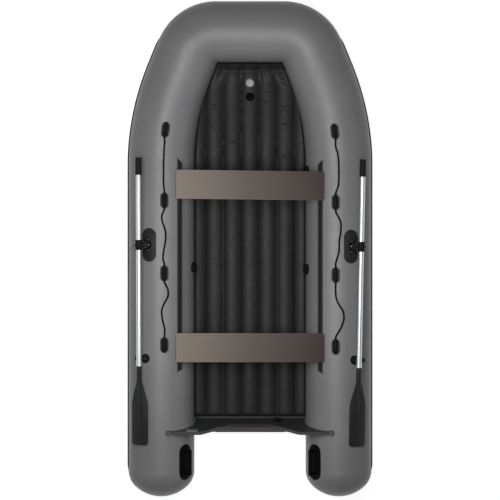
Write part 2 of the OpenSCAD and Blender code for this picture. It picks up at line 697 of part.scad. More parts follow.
// Profiles in the tube's section: x is inboard of the tube's axis and y is above it
function polar(r, a) = [r * sin(a), r * cos(a)];
module sector(from, to) polygon(concat([[0, 0]], [for (a = steps(from, to, 4)) polar(2 * tube_r, a)]));
module bead(gap) rotate(-track_roll) {
    translate([-bead_neck_w / 2 - gap, track_face - 1]) square([bead_neck_w + 2 * gap, bead_neck_h + 2]);
    translate([-bead_head_w / 2 - gap, track_face + bead_neck_h - gap])
        square([bead_head_w + 2 * gap, bead_head_t + 2 * gap]);
}
module track_profile() {
    intersection() {
        difference() {
            circle(r = track_face, $fn = 128);
            circle(r = tube_r + glue_gap, $fn = 128);
        }
        sector(track_from, track_to);
    }
    bead(0);
}
module slider_profile() difference() {
    intersection() {
        sector(track_from - slider_edge, track_to + slider_edge);
        square([tube_r, seat_under]);
    }
    circle(r = track_face + slide_gap, $fn = 128);
    bead(slide_gap);
}
module along_tube(front, l)
    translate([-tube_offset, front, tube_r]) rotate([90, 0, 0]) linear_extrude(l) children();
front_slant = 49;
aft_slant = 35;
end_cut = 100;
// Past the bow seam the track's underside is relieved, to clear the rising shoulder
first_step = arc_l / shoulder_steps;
seam_relief = glue_gap + track_past / first_step
    * ((axis_x(first_step) + tube_offset) * sin(track_roll) + rise_at(first_step) * cos(track_roll));
module at_track_edge(y, slant)
    translate([polar(track_face, track_from).x - tube_offset, y, tube_r]) rotate([0, 0, slant]) children();
// The track's ends are cut on a slant, out to a tip on the outer side
module track() difference() {
    along_tube(track_front, track_l) track_profile();
    at_track_edge(track_front, -front_slant)
        translate([-end_cut, 0, 0]) cube([2 * end_cut, end_cut, 2 * tube_r]);
    at_track_edge(track_front - track_l, aft_slant)
        translate([-end_cut, -end_cut, 0]) cube([2 * end_cut, end_cut, 2 * tube_r]);
    tube_core(seam_relief, shoulder_y, track_front + end_cut);
}
module seat_track_port() color("#2b2d2f") track();
module seat_track_starboard() color("#2b2d2f") starboard_fitting() track();
module slider(y) along_tube(y + slider_l / 2, slider_l) slider_profile();
module slider_pair(y, skew) {
    slider(y - slider_x * sin(skew));
    starboard() slider(y + slider_x * sin(skew));
}
module seat_board(y, skew)
    translate([0, y, tube_r + seat_under]) rotate([0, 0, skew])
        linear_extrude(seat_t) polygon(rounded_points(seat_l, seat_w, seat_corner_r));
module front_seat_board() color("#6b625c") seat_board(seat_front_y, seat_front_skew);
module front_seat_sliders() color("#242628") slider_pair(seat_front_y, seat_front_skew);
module aft_seat_board() color("#6b625c") seat_board(seat_aft_y, 0);
module aft_seat_sliders() color("#242628") slider_pair(seat_aft_y, 0);

// Lifelines

// Fairleads along the tube, measured from the bow seam, and their offset inboard of the crown
fairlead_places = [[215, 22], [-242, 29], [-710, 29], [-1170, 29]];
fairlead_t = 5;
tunnel_z = 9;
tunnel_r = 11;
tunnel_bore = rope_d / 2 + 1.5;
tunnel_l = 76;
rope_gap = 0.3;
tunnel_lift = tunnel_z - rope_d / 2 - rope_gap;

module fairlead() difference() {
    union() {
        translate([0, 0, -4]) linear_extrude(4 + fairlead_t) stadium(fairlead_w, fairlead_l);
        translate([0, -tunnel_l / 2, tunnel_z]) rotate([-90, 0, 0])
            cylinder(r = tunnel_r, h = tunnel_l, $fn = 48);
    }
    translate([0, -fairlead_l, tunnel_z]) rotate([-90, 0, 0])
        cylinder(r = tunnel_bore, h = 2 * fairlead_l, $fn = 32);
}
module shoulder_core(proud)
    bar([for (k = [0 : shoulder_steps]) skin_ring(shoulder_places[k], proud)], sides);
module fairlead_row(shift) for (p = fairlead_places) let (s = p[0] + shift) difference() {
    on_path(s, p[1]) fairlead();
    if (s > 0) shoulder_core(glue_gap);
    else tube_core(glue_gap, shoulder_y + s - fairlead_l, shoulder_y + s + fairlead_l);
}
module fairleads_port() color("#151617") fairlead_row(0);
module fairleads_starboard() color("#151617") starboard() fairlead_row(starboard_shift);

// Routes: distance from the bow seam, offset inboard of the crown; held marks a point in a fairlead
held = true;
port_route = [
    [215, 22, held], [161, 22, held], [140, 25], [115, 25], [80, 25], [45, 25], [0, 24], [-50, 24],
    [-110, 23], [-162, 26], [-188, 29, held], [-242, 29, held], [-296, 29, held], [-318, 21],
    [-340, 13], [-378, 16], [-412, 28], [-445, 36], [-490, 37], [-525, 32], [-555, 26], [-615, 20],
    [-638, 26], [-656, 29, held], [-710, 29, held], [-764, 29, held], [-784, 38], [-805, 48],
    [-830, 53], [-860, 50], [-898, 30], [-943, 13], [-996, 15], [-1035, 24], [-1075, 32],
    [-1098, 30], [-1116, 29, held], [-1170, 29, held]];
starboard_route = [
    [215, 22, held], [161, 22, held], [140, 25], [106, 24], [74, 16], [40, 12], [0, 10], [-50, 9],
    [-105, 10], [-140, 13], [-168, 23], [-188, 29, held], [-242, 29, held], [-296, 29, held],
    [-318, 22], [-340, 10], [-376, -3], [-433, -2], [-497, 7], [-560, 9], [-605, 21], [-636, 29],
    [-656, 29, held], [-710, 29, held], [-764, 29, held], [-800, 30], [-850, 27], [-880, 18],
    [-905, 5], [-939, -16], [-979, -23], [-1010, -18], [-1045, -6], [-1078, 13], [-1100, 25],
    [-1116, 29, held], [-1170, 29, held]];
function rope_point(s, across, is_held) =
    skin_point(s, 90 + inboard_angle(s, across),
               rope_d / 2 + rope_gap + (is_held == held ? tunnel_lift : 0));
function rope_line(route, shift) = [for (p = route) rope_point(p[0] + shift, p[1], p[2])];
function unit(v) = v / norm(v);
// Ring square to the line at point i
function rope_ring(line, i) =
    let (ahead = line[min(i + 1, len(line) - 1)], back = line[max(i - 1, 0)],
         along = unit(ahead - back), across = unit(cross(along, [0, 0, 1])), up = cross(across, along))
    [for (k = [0 : rope_sides - 1]) let (a = 360 * k / rope_sides)
        line[i] + rope_d / 2 * (cos(a) * across - sin(a) * up)];
module rope(route, shift) let (line = rope_line(route, shift))
    bar([for (i = [0 : len(line) - 1]) rope_ring(line, i)], rope_sides);
module lifeline_port() color("#121314") rope(port_route, 0);
module lifeline_starboard() color("#121314") starboard() rope(starboard_route, starboard_shift);

// Oars, drawn on the port side

oar_z = tube_r + oar_over;
pad_w = 92;
pad_l = 216;
pad_t = 6;
pad_in = 18;
pad_tilt = -asin((swing_out - pad_in) / tube_r);
boss_top = oar_z - 28;
boss_cone_z = oar_z - 58;
boss_r = 21;
boss_base_r = 33;
spigot_r = 10;
spigot_l = 30;
post_r = 14;
lift_pin_r = 8;
lug_r = 14;
collar_r = 22;
collar_l = 64;
rib_t = 7;
rib_reach = 92;
rib_spread = 20;
swing_x = -tube_offset - swing_out;
module on_swing() translate([swing_x, oar_y, tube_r]) children();

// Oval pad on the tube, a tall boss for the swivel and four crossed ribs that brace it
module oarlock_pad() difference() {
    union() {
        intersection() {
            on_tube(oar_y, pad_tilt) translate([0, 0, -40]) linear_extrude(80) stadium(pad_w, pad_l);
            tube_core(glue_gap + pad_t, oar_y - pad_l, oar_y + pad_l);
        }
        on_swing() {
            translate([0, 0, tube_r / 2])
                cylinder(r = boss_base_r, h = boss_cone_z - tube_r / 2, $fn = fine);
            translate([0, 0, boss_cone_z])
                cylinder(r1 = boss_base_r, r2 = boss_r, h = boss_top - boss_cone_z, $fn = fine);
        }
        intersection() {
            on_swing() for (a = [-rib_spread, rib_spread]) rotate([90, 0, 90 + a])
                translate([0, 0, -rib_t / 2]) linear_extrude(rib_t)
                    polygon([[-rib_reach, tube_r / 2], [rib_reach, tube_r / 2], [rib_reach, tube_r * 0.82],
                             [boss_r, boss_top - 4], [-boss_r, boss_top - 4], [-rib_reach, tube_r * 0.82]]);
            on_tube(oar_y, pad_tilt) translate([0, 0, -60]) linear_extrude(140) stadium(pad_w - 6, pad_l - 6);
        }
    }
    tube_core(glue_gap, oar_y - pad_l, oar_y + pad_l);
    on_swing() translate([0, 0, boss_top - spigot_l])
        cylinder(r = spigot_r + run_gap, h = spigot_l + 1, $fn = 48);
}
// The swivel turns in the boss and carries the pin that the oar tilts on
module oarlock_swivel() on_swing() {
    translate([0, 0, boss_top - spigot_l + slide_gap]) cylinder(r = spigot_r, h = spigot_l + 4, $fn = 48);
    translate([0, 0, boss_top + slide_gap]) cylinder(r = post_r, h = oar_z - boss_top + 15, $fn = 48);
    translate([0, 0, oar_z]) rotate([0, -90, 0])
        cylinder(r = lift_pin_r, h = collar_out - shaft_r - 2, $fn = 48);
}
// Frame of the oar: origin in the collar, +Y to the grip
module on_oar() translate([swing_x - collar_out, oar_y, tube_r + oar_z]) rotate([oar_tilt, 0, 0]) children();
module along_oar(from) translate([0, from, 0]) rotate([-90, 0, 0]) children();
module oar_collar() on_oar() difference() {
    union() {
        along_oar(-collar_l / 2) cylinder(r = collar_r, h = collar_l, $fn = fine);
        rotate([0, 90, 0]) cylinder(r = lug_r, h = collar_out - post_r - slide_gap, $fn = 48);
        rotate([0, -90, 0]) cylinder(r = 5, h = collar_r + 7, $fn = 32);
    }
    along_oar(-collar_l) cylinder(r = shaft_r + run_gap, h = 2 * collar_l, $fn = fine);
    translate([shaft_r + 1, 0, 0]) rotate([0, 90, 0])
        cylinder(r = lift_pin_r + run_gap, h = collar_out, $fn = 48);
}
ferrule_l = 32;
ferrule_t = 1.5;
plug_l = 60;
module oar_shaft() on_oar() difference() {
    union() {
        along_oar(-shaft_end) cylinder(r = shaft_r, h = shaft_end + grip_end - 8, $fn = fine);
        along_oar(-shaft_end) cylinder(r = shaft_r + ferrule_t, h = ferrule_l, $fn = fine);
    }
    along_oar(-shaft_end - 1) cylinder(r = shaft_r - shaft_wall, h = shaft_end + grip_end, $fn = fine);
}
grip_t = 3;
module oar_grip() on_oar() difference() {
    union() {
        along_oar(grip_end - grip_l) cylinder(r = shaft_r + grip_t, h = grip_l - 3, $fn = fine);
        along_oar(grip_end - 3) cylinder(r1 = shaft_r + grip_t, r2 = shaft_r, h = 3, $fn = fine);
        for (i = [0 : 4]) along_oar(grip_end - grip_l + 14 + i * (grip_l - 30) / 4)
            cylinder(r = shaft_r + grip_t + 0.8, h = 4, $fn = fine);
    }
    along_oar(grip_end - grip_l - 1) cylinder(r = shaft_r + run_gap, h = grip_l - 7 + run_gap, $fn = fine);
}
// The blade is a curved plate with a neck that plugs into the shaft and a tapered spine
blade_bend_r = 190;
neck_r = shaft_r - shaft_wall - run_gap;
neck_l = 85;
flare_l = 165;
blade_corner = 16;
spine_back = 60;
spine_l = blade_end - spine_back - shaft_end - neck_l + 0.5;
function blade_side() = concat(
    [[neck_r, -shaft_end - 4], [neck_r, -shaft_end - neck_l]],
    [for (i = [1 : 7]) let (u = i / 8)
        [mix(neck_r, blade_w / 2, sin(90 * u) * u + (1 - u) * u * 0.6), -shaft_end - neck_l - flare_l * u]],
    [[blade_w / 2, -shaft_end - neck_l - flare_l]],
    arc_points(blade_w / 2 - blade_corner, blade_corner - blade_end, blade_corner, 0, -90, 5));
module blade_outline() let (side = blade_side(), n = len(side))
    polygon(concat(side, [for (i = [n - 1 : -1 : 0]) [-side[i].x, side[i].y]]));
module oar_blade() on_oar() rotate([0, -blade_roll, 0]) {
    intersection() {
        translate([0, 0, -60]) linear_extrude(120) blade_outline();
        translate([0, -blade_end - 10, blade_t / 2 - blade_bend_r]) rotate([-90, 0, 0]) difference() {
            cylinder(r = blade_bend_r, h = blade_end, $fn = 160);
            translate([0, 0, -1]) cylinder(r = blade_bend_r - blade_t, h = blade_end + 2, $fn = 160);
        }
    }
    along_oar(-shaft_end - neck_l) cylinder(r = neck_r, h = neck_l + plug_l, $fn = fine);
    along_oar(-blade_end + spine_back)
        cylinder(r1 = blade_t / 2 + 1, r2 = neck_r, h = spine_l, $fn = fine);
}
// Turns the starboard set inwards about its own swing axis
module starboard_oar() translate([-swing_x, oar_y + starboard_shift, 0]) rotate([0, 0, -starboard_yaw])
    translate([swing_x, -oar_y, 0]) starboard() children();
module oarlock_pad_port() color("#1a1b1c") oarlock_pad();
module oarlock_pad_starboard() color("#1a1b1c") starboard_fitting() oarlock_pad();
module oarlock_swivel_port() color("#131415") oarlock_swivel();
module oarlock_swivel_starboard() color("#131415") starboard_oar() oarlock_swivel();
module oar_collar_port() color("#131415") oar_collar();
module oar_collar_starboard() color("#131415") starboard_oar() oar_collar();
module oar_shaft_port() color("#d8dadc") oar_shaft();
module oar_shaft_starboard() color("#d8dadc") starboard_oar() oar_shaft();
module oar_grip_port() color("#1e1f20") oar_grip();
module oar_grip_starboard() color("#1e1f20") starboard_oar() oar_grip();
module oar_blade_port() color("#232425") oar_blade();
module oar_blade_starboard() color("#232425") starboard_oar() oar_blade();

// The stowed shaft lies on a rest: a round pad with an arm under the shaft
rest_back = 730;
rest_r = 30;
rest_t = 5;
rest_gap = 2.4;
rest_arm_w = 22;
rest_arm_t = 11;
rest_in = 39;
rest_out = 27;
rest_post_r = 13;
// The arm is flat under the tilted shaft
rest_drop = rest_arm_w / 2 * tan(oar_tilt);
rest_y = oar_y - rest_back;
rest_x = swing_x - collar_out + rest_in;
rest_top = tube_r + oar_z - rest_back * sin(oar_tilt) - shaft_r / cos(oar_tilt) - rest_gap;
rest_tilt = -asin((-rest_x - tube_offset) / tube_r);
module oar_rest() difference() {
    union() {
        intersection() {
            on_tube(rest_y, rest_tilt) translate([0, 0, -20]) cylinder(r = rest_r, h = 40, $fn = fine);
            tube_core(glue_gap + rest_t, rest_y - rest_r, rest_y + rest_r);
        }
        translate([rest_x - rest_in - rest_out, rest_y - rest_arm_w / 2, rest_top - rest_arm_t - rest_drop])
            cube([rest_in + rest_out + rest_post_r, rest_arm_w, rest_arm_t]);
        translate([rest_x, rest_y, 1.5 * tube_r])
            cylinder(r = rest_post_r, h = rest_top - rest_drop - 1 - 1.5 * tube_r, $fn = 48);
    }
    tube_core(glue_gap, rest_y - 2 * rest_r, rest_y + 2 * rest_r);
}
module oar_rest_port() color("#17181a") oar_rest();
module oar_rest_starboard() color("#17181a") starboard_fitting() oar_rest();

// Stern handles follow the tube and the start of its dome

handle_fore = 69;
handle_y = stern_y + handle_fore;
handle_tilt = 49;
handle_t = 5;
handle_bar_w = 20;
handle_bar_t = 11;
handle_bar_l = 170;
handle_foot = 24;
module handle_prism(w, l)
    on_tube(handle_y, handle_tilt) translate([0, 0, -80]) linear_extrude(200) stadium(w, l);
module handle_pad() intersection() {
    stern_layer(glue_gap, glue_gap + handle_t, handle_l);
    handle_prism(handle_w, handle_l);
}
module handle_grip() difference() {
    intersection() {
        stern_layer(2 * glue_gap + handle_t, handle_t + finger_gap + handle_bar_t, handle_l);
        handle_prism(handle_bar_w, handle_bar_l);
    }
    intersection() {
        stern_layer(handle_t - 1, handle_t + finger_gap, handle_l);
        on_tube(handle_y, handle_tilt) translate([-handle_w, handle_foot - handle_bar_l / 2, -80])
            cube([2 * handle_w, handle_bar_l - 2 * handle_foot, 200]);
    }
}
module stern_handle_pads() color("#161718") {
    handle_pad();
    starboard() handle_pad();
}
module stern_handle_grips() color("#222324") {
    handle_grip();
    starboard() handle_grip();
}

side_tube_port();
side_tube_starboard();
bow_shoulder_port();
bow_shoulder_starboard();
bow_corner_port();
bow_corner_starboard();
bow_tube();
chamber_baffles();
rubbing_strake_port();
rubbing_strake_starboard();
air_floor();
transom_board();
inner_clamp_pad();
outer_clamp_pad();
clamp_pad_bolts();
transom_holder_port();
transom_holder_starboard();
drain_body();
drain_cap();
tube_valve_bodies();
port_valve_cap();
starboard_valve_cap();
bow_valve_cap();
port_valve_plunger();
starboard_valve_plunger();
bow_valve_plunger();
floor_valve_body();
floor_valve_cap();
floor_valve_plunger();
relief_valve();
seat_track_port();
seat_track_starboard();
front_seat_board();
front_seat_sliders();
aft_seat_board();
aft_seat_sliders();
fairleads_port();
fairleads_starboard();
lifeline_port();
lifeline_starboard();
oarlock_pad_port();
oarlock_pad_starboard();
oarlock_swivel_port();
oarlock_swivel_starboard();
oar_collar_port();
oar_collar_starboard();
oar_shaft_port();
oar_shaft_starboard();
oar_grip_port();
oar_grip_starboard();
oar_blade_port();
oar_blade_starboard();
oar_rest_port();
oar_rest_starboard();
stern_handle_pads();
stern_handle_grips();
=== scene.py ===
"""Looks of the inflatable dinghy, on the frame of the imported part.

Metres. +X is starboard, +Y is the bow and +Z is up, and the tubes rest on z = 0. Port pieces
are shaped first, and starboard pieces are their mirror images.
"""
import logging
import math
from dataclasses import dataclass, field
from enum import Enum
from typing import Sequence

import bmesh
import bpy
import numpy as np
from mathutils import Matrix, Vector


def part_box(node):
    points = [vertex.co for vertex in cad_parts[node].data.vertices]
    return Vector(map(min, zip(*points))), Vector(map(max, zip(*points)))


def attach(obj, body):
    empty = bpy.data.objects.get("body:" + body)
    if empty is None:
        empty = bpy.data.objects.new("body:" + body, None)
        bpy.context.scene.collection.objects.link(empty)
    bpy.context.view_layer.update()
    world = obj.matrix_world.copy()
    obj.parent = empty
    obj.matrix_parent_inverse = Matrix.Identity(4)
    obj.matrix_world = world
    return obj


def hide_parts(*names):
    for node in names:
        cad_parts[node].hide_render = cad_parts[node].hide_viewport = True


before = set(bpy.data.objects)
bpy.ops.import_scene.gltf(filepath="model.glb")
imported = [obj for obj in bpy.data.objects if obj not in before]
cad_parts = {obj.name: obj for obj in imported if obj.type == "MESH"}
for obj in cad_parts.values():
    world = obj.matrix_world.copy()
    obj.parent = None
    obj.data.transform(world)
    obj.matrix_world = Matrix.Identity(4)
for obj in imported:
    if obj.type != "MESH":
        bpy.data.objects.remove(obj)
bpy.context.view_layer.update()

log = logging.getLogger("dinghy")

Pair = tuple[float, float]
Point = tuple[float, float, float]
Colour = tuple[float, float, float]
Rows = np.ndarray
Mesh = bpy.types.Mesh
Socket = bpy.types.NodeSocket
Feed = Socket | float | tuple
Inputs = dict[str | int, Feed]

MIRROR = np.array([-1.0, 1.0, 1.0])
WHITE = (1.0, 1.0, 1.0)
# Values between which most of a cloudy texture lies
CLOUDY = (0.3, 0.7)
# Scale of a wave texture whose bands are one unit apart
WAVE_SCALE = math.pi / 10
# How well the eased and the plain normal agree on a clear edge
EDGE_MATCH = 0.93


class Side(Enum):
    """Side of the boat, as the sign of X."""

    PORT = -1
    STARBOARD = 1

    @property
    def label(self) -> str:
        """Word for the side in the names of pieces."""
        return self.name.lower()


class Measure(Enum):
    """Height at which a moulding changes its tone."""

    GROUND = "over the ground"
    TUBE = "out from a side tube's axis"


class Space(Enum):
    """Coordinates that a texture is laid out in."""

    OBJECT = "Object"
    SURFACE = "UV"
    NORMAL = "Normal"
    ROOM = "Generated"


# Finishes


class NodeKit:
    """Builds the nodes of a material or a world round its main shader."""

    def __init__(self, owner: bpy.types.Material | bpy.types.World, shader: str = "Principled BSDF") -> None:
        """Starts from the owner's first nodes.

        Args:
            owner: Material or world.
            shader: Name of its main shader.
        """
        owner.use_nodes = True
        self.tree = owner.node_tree
        self.shader = self.tree.nodes[shader]

    def give(self, node: bpy.types.Node, inputs: Inputs) -> None:
        """Links sockets to a node's inputs and sets constants on them.

        Args:
            node: The node.
            inputs: Sockets and constants, by the name or place of the input.
        """
        for name, value in inputs.items():
            if isinstance(value, Socket):
                self.tree.links.new(value, node.inputs[name])
            else:
                node.inputs[name].default_value = value

    def dress(self, inputs: Inputs) -> None:
        """Gives the main shader its values."""
        self.give(self.shader, inputs)

    def add(self, kind: str, output: str | int, inputs: Inputs, **settings: str | int) -> Socket:
        """Adds a node.

        Args:
            kind: Kind of the node.
            output: Output to take.
            inputs: Sockets and constants for its inputs.
            settings: Settings of the node itself.

        Returns:
            The output's socket.
        """
        node = self.tree.nodes.new(f"ShaderNode{kind}")
        for name, value in settings.items():
            setattr(node, name, value)
        self.give(node, inputs)
        return node.outputs[output]

    def place(self, space: Space, stretch: Point = (1, 1, 1), turn: float = 0.0) -> Socket:
        """Gives texture coordinates, stretched along each axis and turned about the third one."""
        source = self.add("TexCoord", space.value, {})
        return self.add("Mapping", 0, {"Vector": source, "Scale": stretch, "Rotation": (0, 0, turn)})

    def noise(self, where: Socket, size: float, detail: float) -> Socket:
        """Gives clouds of a size with octaves of finer ones, about 0.5 on average."""
        return self.add("TexNoise", "Fac", {"Vector": where, "Scale": 1 / size, "Detail": detail})

    def bands(self, where: Socket, pitch: float, axis: str, wobble: float = 0.0) -> Socket:
        """Gives smooth bands from 0 to 1 that follow one another along an axis."""
        inputs = {"Vector": where, "Scale": WAVE_SCALE / pitch, "Distortion": wobble}
        return self.add("TexWave", "Fac", inputs, bands_direction=axis)

    def combine(self, operation: str, first: Socket, second: Feed) -> Socket:
        """Combines two values by a named operation."""
        return self.add("Math", 0, {0: first, 1: second}, operation=operation)

    def part(self, where: Socket, axis: str) -> Socket:
        """Gives one component of a vector."""
        return self.add("SeparateXYZ", axis, {0: where})

    def span(self, value: Socket, low: float, high: float, to_low: Feed, to_high: Feed) -> Socket:
        """Maps values from low to high to another range, and holds them at its ends."""
        ends = {"From Min": low, "From Max": high, "To Min": to_low, "To Max": to_high}
        return self.add("MapRange", 0, {"Value": value, **ends})

    def shade(self, value: Socket, *stops: tuple[float, Colour]) -> Socket:
        """Turns a value into a colour.

        Args:
            value: Value from 0 to 1.
            stops: Places and their colours, in order.

        Returns:
            The colour socket.
        """
        output = self.add("ValToRGB", "Color", {0: value})
        elements = output.node.color_ramp.elements
        while len(elements) < len(stops):
            elements.new(1.0)
        for element, (place, colour) in zip(elements, stops):
            element.position = place
            element.color = (*colour, 1)
        return output

    def blend(self, amount: Feed, first: Socket, second: Feed, mode: str = "MIX") -> Socket:
        """Mixes two colours by the share of the second one."""
        return self.add("Mix", 2, {0: amount, 6: first, 7: second}, data_type="RGBA", blend_type=mode)

    def edges(self, reach: float) -> Socket:
        """Finds a piece's edges.

        Args:
            reach: How far from an edge it still counts.

        Returns:
            The value socket, 1 on the edges and 0 on open faces.
        """
        eased = self.add("Bevel", 0, {"Radius": reach}, samples=6)
        plain = self.add("NewGeometry", "Normal", {})
        match = self.add("VectorMath", "Value", {0: eased, 1: plain}, operation="DOT_PRODUCT")
        return self.span(match, 1.0, EDGE_MATCH, 0, 1)

    def off_axis(self, where: Socket, middle: Point) -> Socket:
        """Gives the distance from a side tube's axis, the same on both sides.

        Args:
            where: Coordinates of the object.
            middle: Point of the starboard axis.

        Returns:
            The value socket.
        """
        folded = self.add("VectorMath", 0, {0: where}, operation="ABSOLUTE")
        away = self.add("VectorMath", 0, {0: folded, 1: middle}, operation="SUBTRACT")
        flat = self.add("VectorMath", 0, {0: away, 1: (1, 0, 1)}, operation="MULTIPLY")
        return self.add("VectorMath", "Value", {0: flat}, operation="LENGTH")

    def relief(self, *layers: tuple[Socket, float]) -> None:
        """Gives the surface its fine relief.

        Args:
            layers: Heights from 0 to 1, each with its depth in metres.
        """
        below: Inputs = {}
        for height, depth in layers:
            below = {"Normal": self.add("Bump", 0, {"Height": height, "Distance": depth, **below})}
        self.dress(below)

    def seen(self) -> Socket:
        """Tells which rays show a surface itself, and not only its light.

        Returns:
            The value socket, 1 for rays from the camera, from gloss or through glass.
        """
        rays = self.add("LightPath", 0, {}).node.outputs
        near = self.combine("MAXIMUM", rays["Is Camera Ray"], rays["Is Glossy Ray"])
        return self.combine("MAXIMUM", near, rays["Is Transmission Ray"])


def toned(colour: Colour, gain: float) -> Colour:
    """Gives a colour made lighter or darker."""
    return tuple(min(1.0, c * gain) for c in colour)


@dataclass(frozen=True)
class Finish:
    """A surface finish; each kind lays out its own detail.

    The wear is how much smoother and rougher the surface gets, from where a cloudy value passes
    worn_from to the upper end of its range.
    """

    name: str
    slot: str
    colour: Colour
    roughness: float = 0.5
    mottle: float = 0.08
    mottle_size: float = 0.15
    gloss: float = 0.5
    wear: Pair = (0.1, 0.1)
    worn_from: float = 0.35

    def material(self) -> bpy.types.Material:
        """Gives the finish's material, made once.

        Returns:
            The material.
        """
        name = f"{self.name}_finish"
        found = bpy.data.materials.get(name)
        if not found:
            found = bpy.data.materials.new(name)
            kit = NodeKit(found)
            kit.dress({"Specular IOR Level": self.gloss})
            self.lay_out(kit)
        return found

    def lay_out(self, kit: NodeKit) -> None:
        """Lays out the detail of the finish."""
        raise NotImplementedError

    def clouds(self, kit: NodeKit, colour: Colour) -> Socket:
        """Gives a colour with soft lighter and darker clouds.

        Args:
            kit: Nodes of the material.
            colour: Colour on average.

        Returns:
            The colour socket.
        """
        cloud = kit.noise(kit.place(Space.OBJECT), self.mottle_size, detail=4)
        dark, light = toned(colour, 1 - self.mottle), toned(colour, 1 + self.mottle)
        return kit.shade(cloud, (CLOUDY[0], dark), (CLOUDY[1], light))

    def tone(self, kit: NodeKit) -> Socket:
        """Gives the finish's own clouded colour."""
        return self.clouds(kit, self.colour)

    def worn(self, kit: NodeKit, rub: Socket) -> Socket:
        """Gives the roughness, which follows a cloudy value."""
        ends = (self.roughness - self.wear[0], self.roughness + self.wear[1])
        return kit.span(rub, self.worn_from, CLOUDY[1], *ends)


@dataclass(frozen=True)
class CoatedFabric(Finish):
    """Coated fabric: the base cloth's weave shows faintly through a satin skin."""

    wear: Pair = (0.06, 0.08)
    thread: float = 0.0012
    weave_depth: float = 0.000012
    slack: float = 0.0003
    slack_size: float = 0.06
    scuff_size: float = 0.018
    dust: Colour = (1.0, 0.97, 0.93)
    dust_tint: Pair = (0.45, 0.72)
    dust_spread: Pair = (0.5, 0.75)
    dust_least: float = 0.2

    def lay_out(self, kit: NodeKit) -> None:
        """Lays out weave, soft unevenness, scuffs and dust.

        Args:
            kit: Nodes of the material.
        """
        surface = kit.place(Space.SURFACE)
        warp, weft = (kit.bands(surface, self.thread, axis) for axis in "XY")
        soft = kit.noise(kit.place(Space.OBJECT), self.slack_size, detail=2)
        scuff = kit.noise(kit.place(Space.OBJECT), self.scuff_size, detail=5)
        dusted = kit.shade(scuff, (self.dust_tint[0], WHITE), (self.dust_tint[1], self.dust))
        share = kit.span(scuff, *self.dust_spread, self.dust_least, 1.0)
        kit.dress({"Base Color": kit.blend(share, self.tone(kit), dusted, "MULTIPLY"),
                   "Roughness": self.worn(kit, scuff)})
        kit.relief((soft, self.slack), (kit.combine("MULTIPLY", warp, weft), self.weave_depth))


@dataclass(frozen=True)
class MouldedPlastic(Finish):
    """Moulded plastic or rubber with a fine spark-eroded grain and rubbed high spots."""

    grain: float = 0.0012
    grain_depth: float = 0.00002
    rub_size: float = 0.03

    def lay_out(self, kit: NodeKit) -> None:
        """Lays out mould grain, handling marks and uneven gloss.

        Args:
            kit: Nodes of the material.
        """
        where = kit.place(Space.OBJECT)
        rub = kit.noise(where, self.rub_size, detail=4)
        kit.dress({"Base Color": self.tone(kit), "Roughness": self.worn(kit, rub)})
        kit.relief((kit.noise(where, self.grain, detail=2), self.grain_depth))


@dataclass(frozen=True)
class TwoTonePlastic(MouldedPlastic):
    """Moulded plastic whose upper part has another tone."""

    high_colour: Colour = (0.003, 0.003, 0.003)
    split: float = 0.0
    blur: float = 0.0004
    measure: Measure = Measure.GROUND

    def tone(self, kit: NodeKit) -> Socket:
        """Gives both clouded tones, parted at the split.

        Args:
            kit: Nodes of the material.

        Returns:
            The colour socket.
        """
        where = kit.place(Space.OBJECT)
        if self.measure is Measure.GROUND:
            height = kit.part(where, "Z")
        else:
            height = kit.off_axis(where, (LINE.tube_offset, 0, LINE.tube_r))
        share = kit.span(height, self.split - self.blur, self.split + self.blur, 0, 1)
        return kit.blend(share, self.clouds(kit, self.colour), self.clouds(kit, self.high_colour))


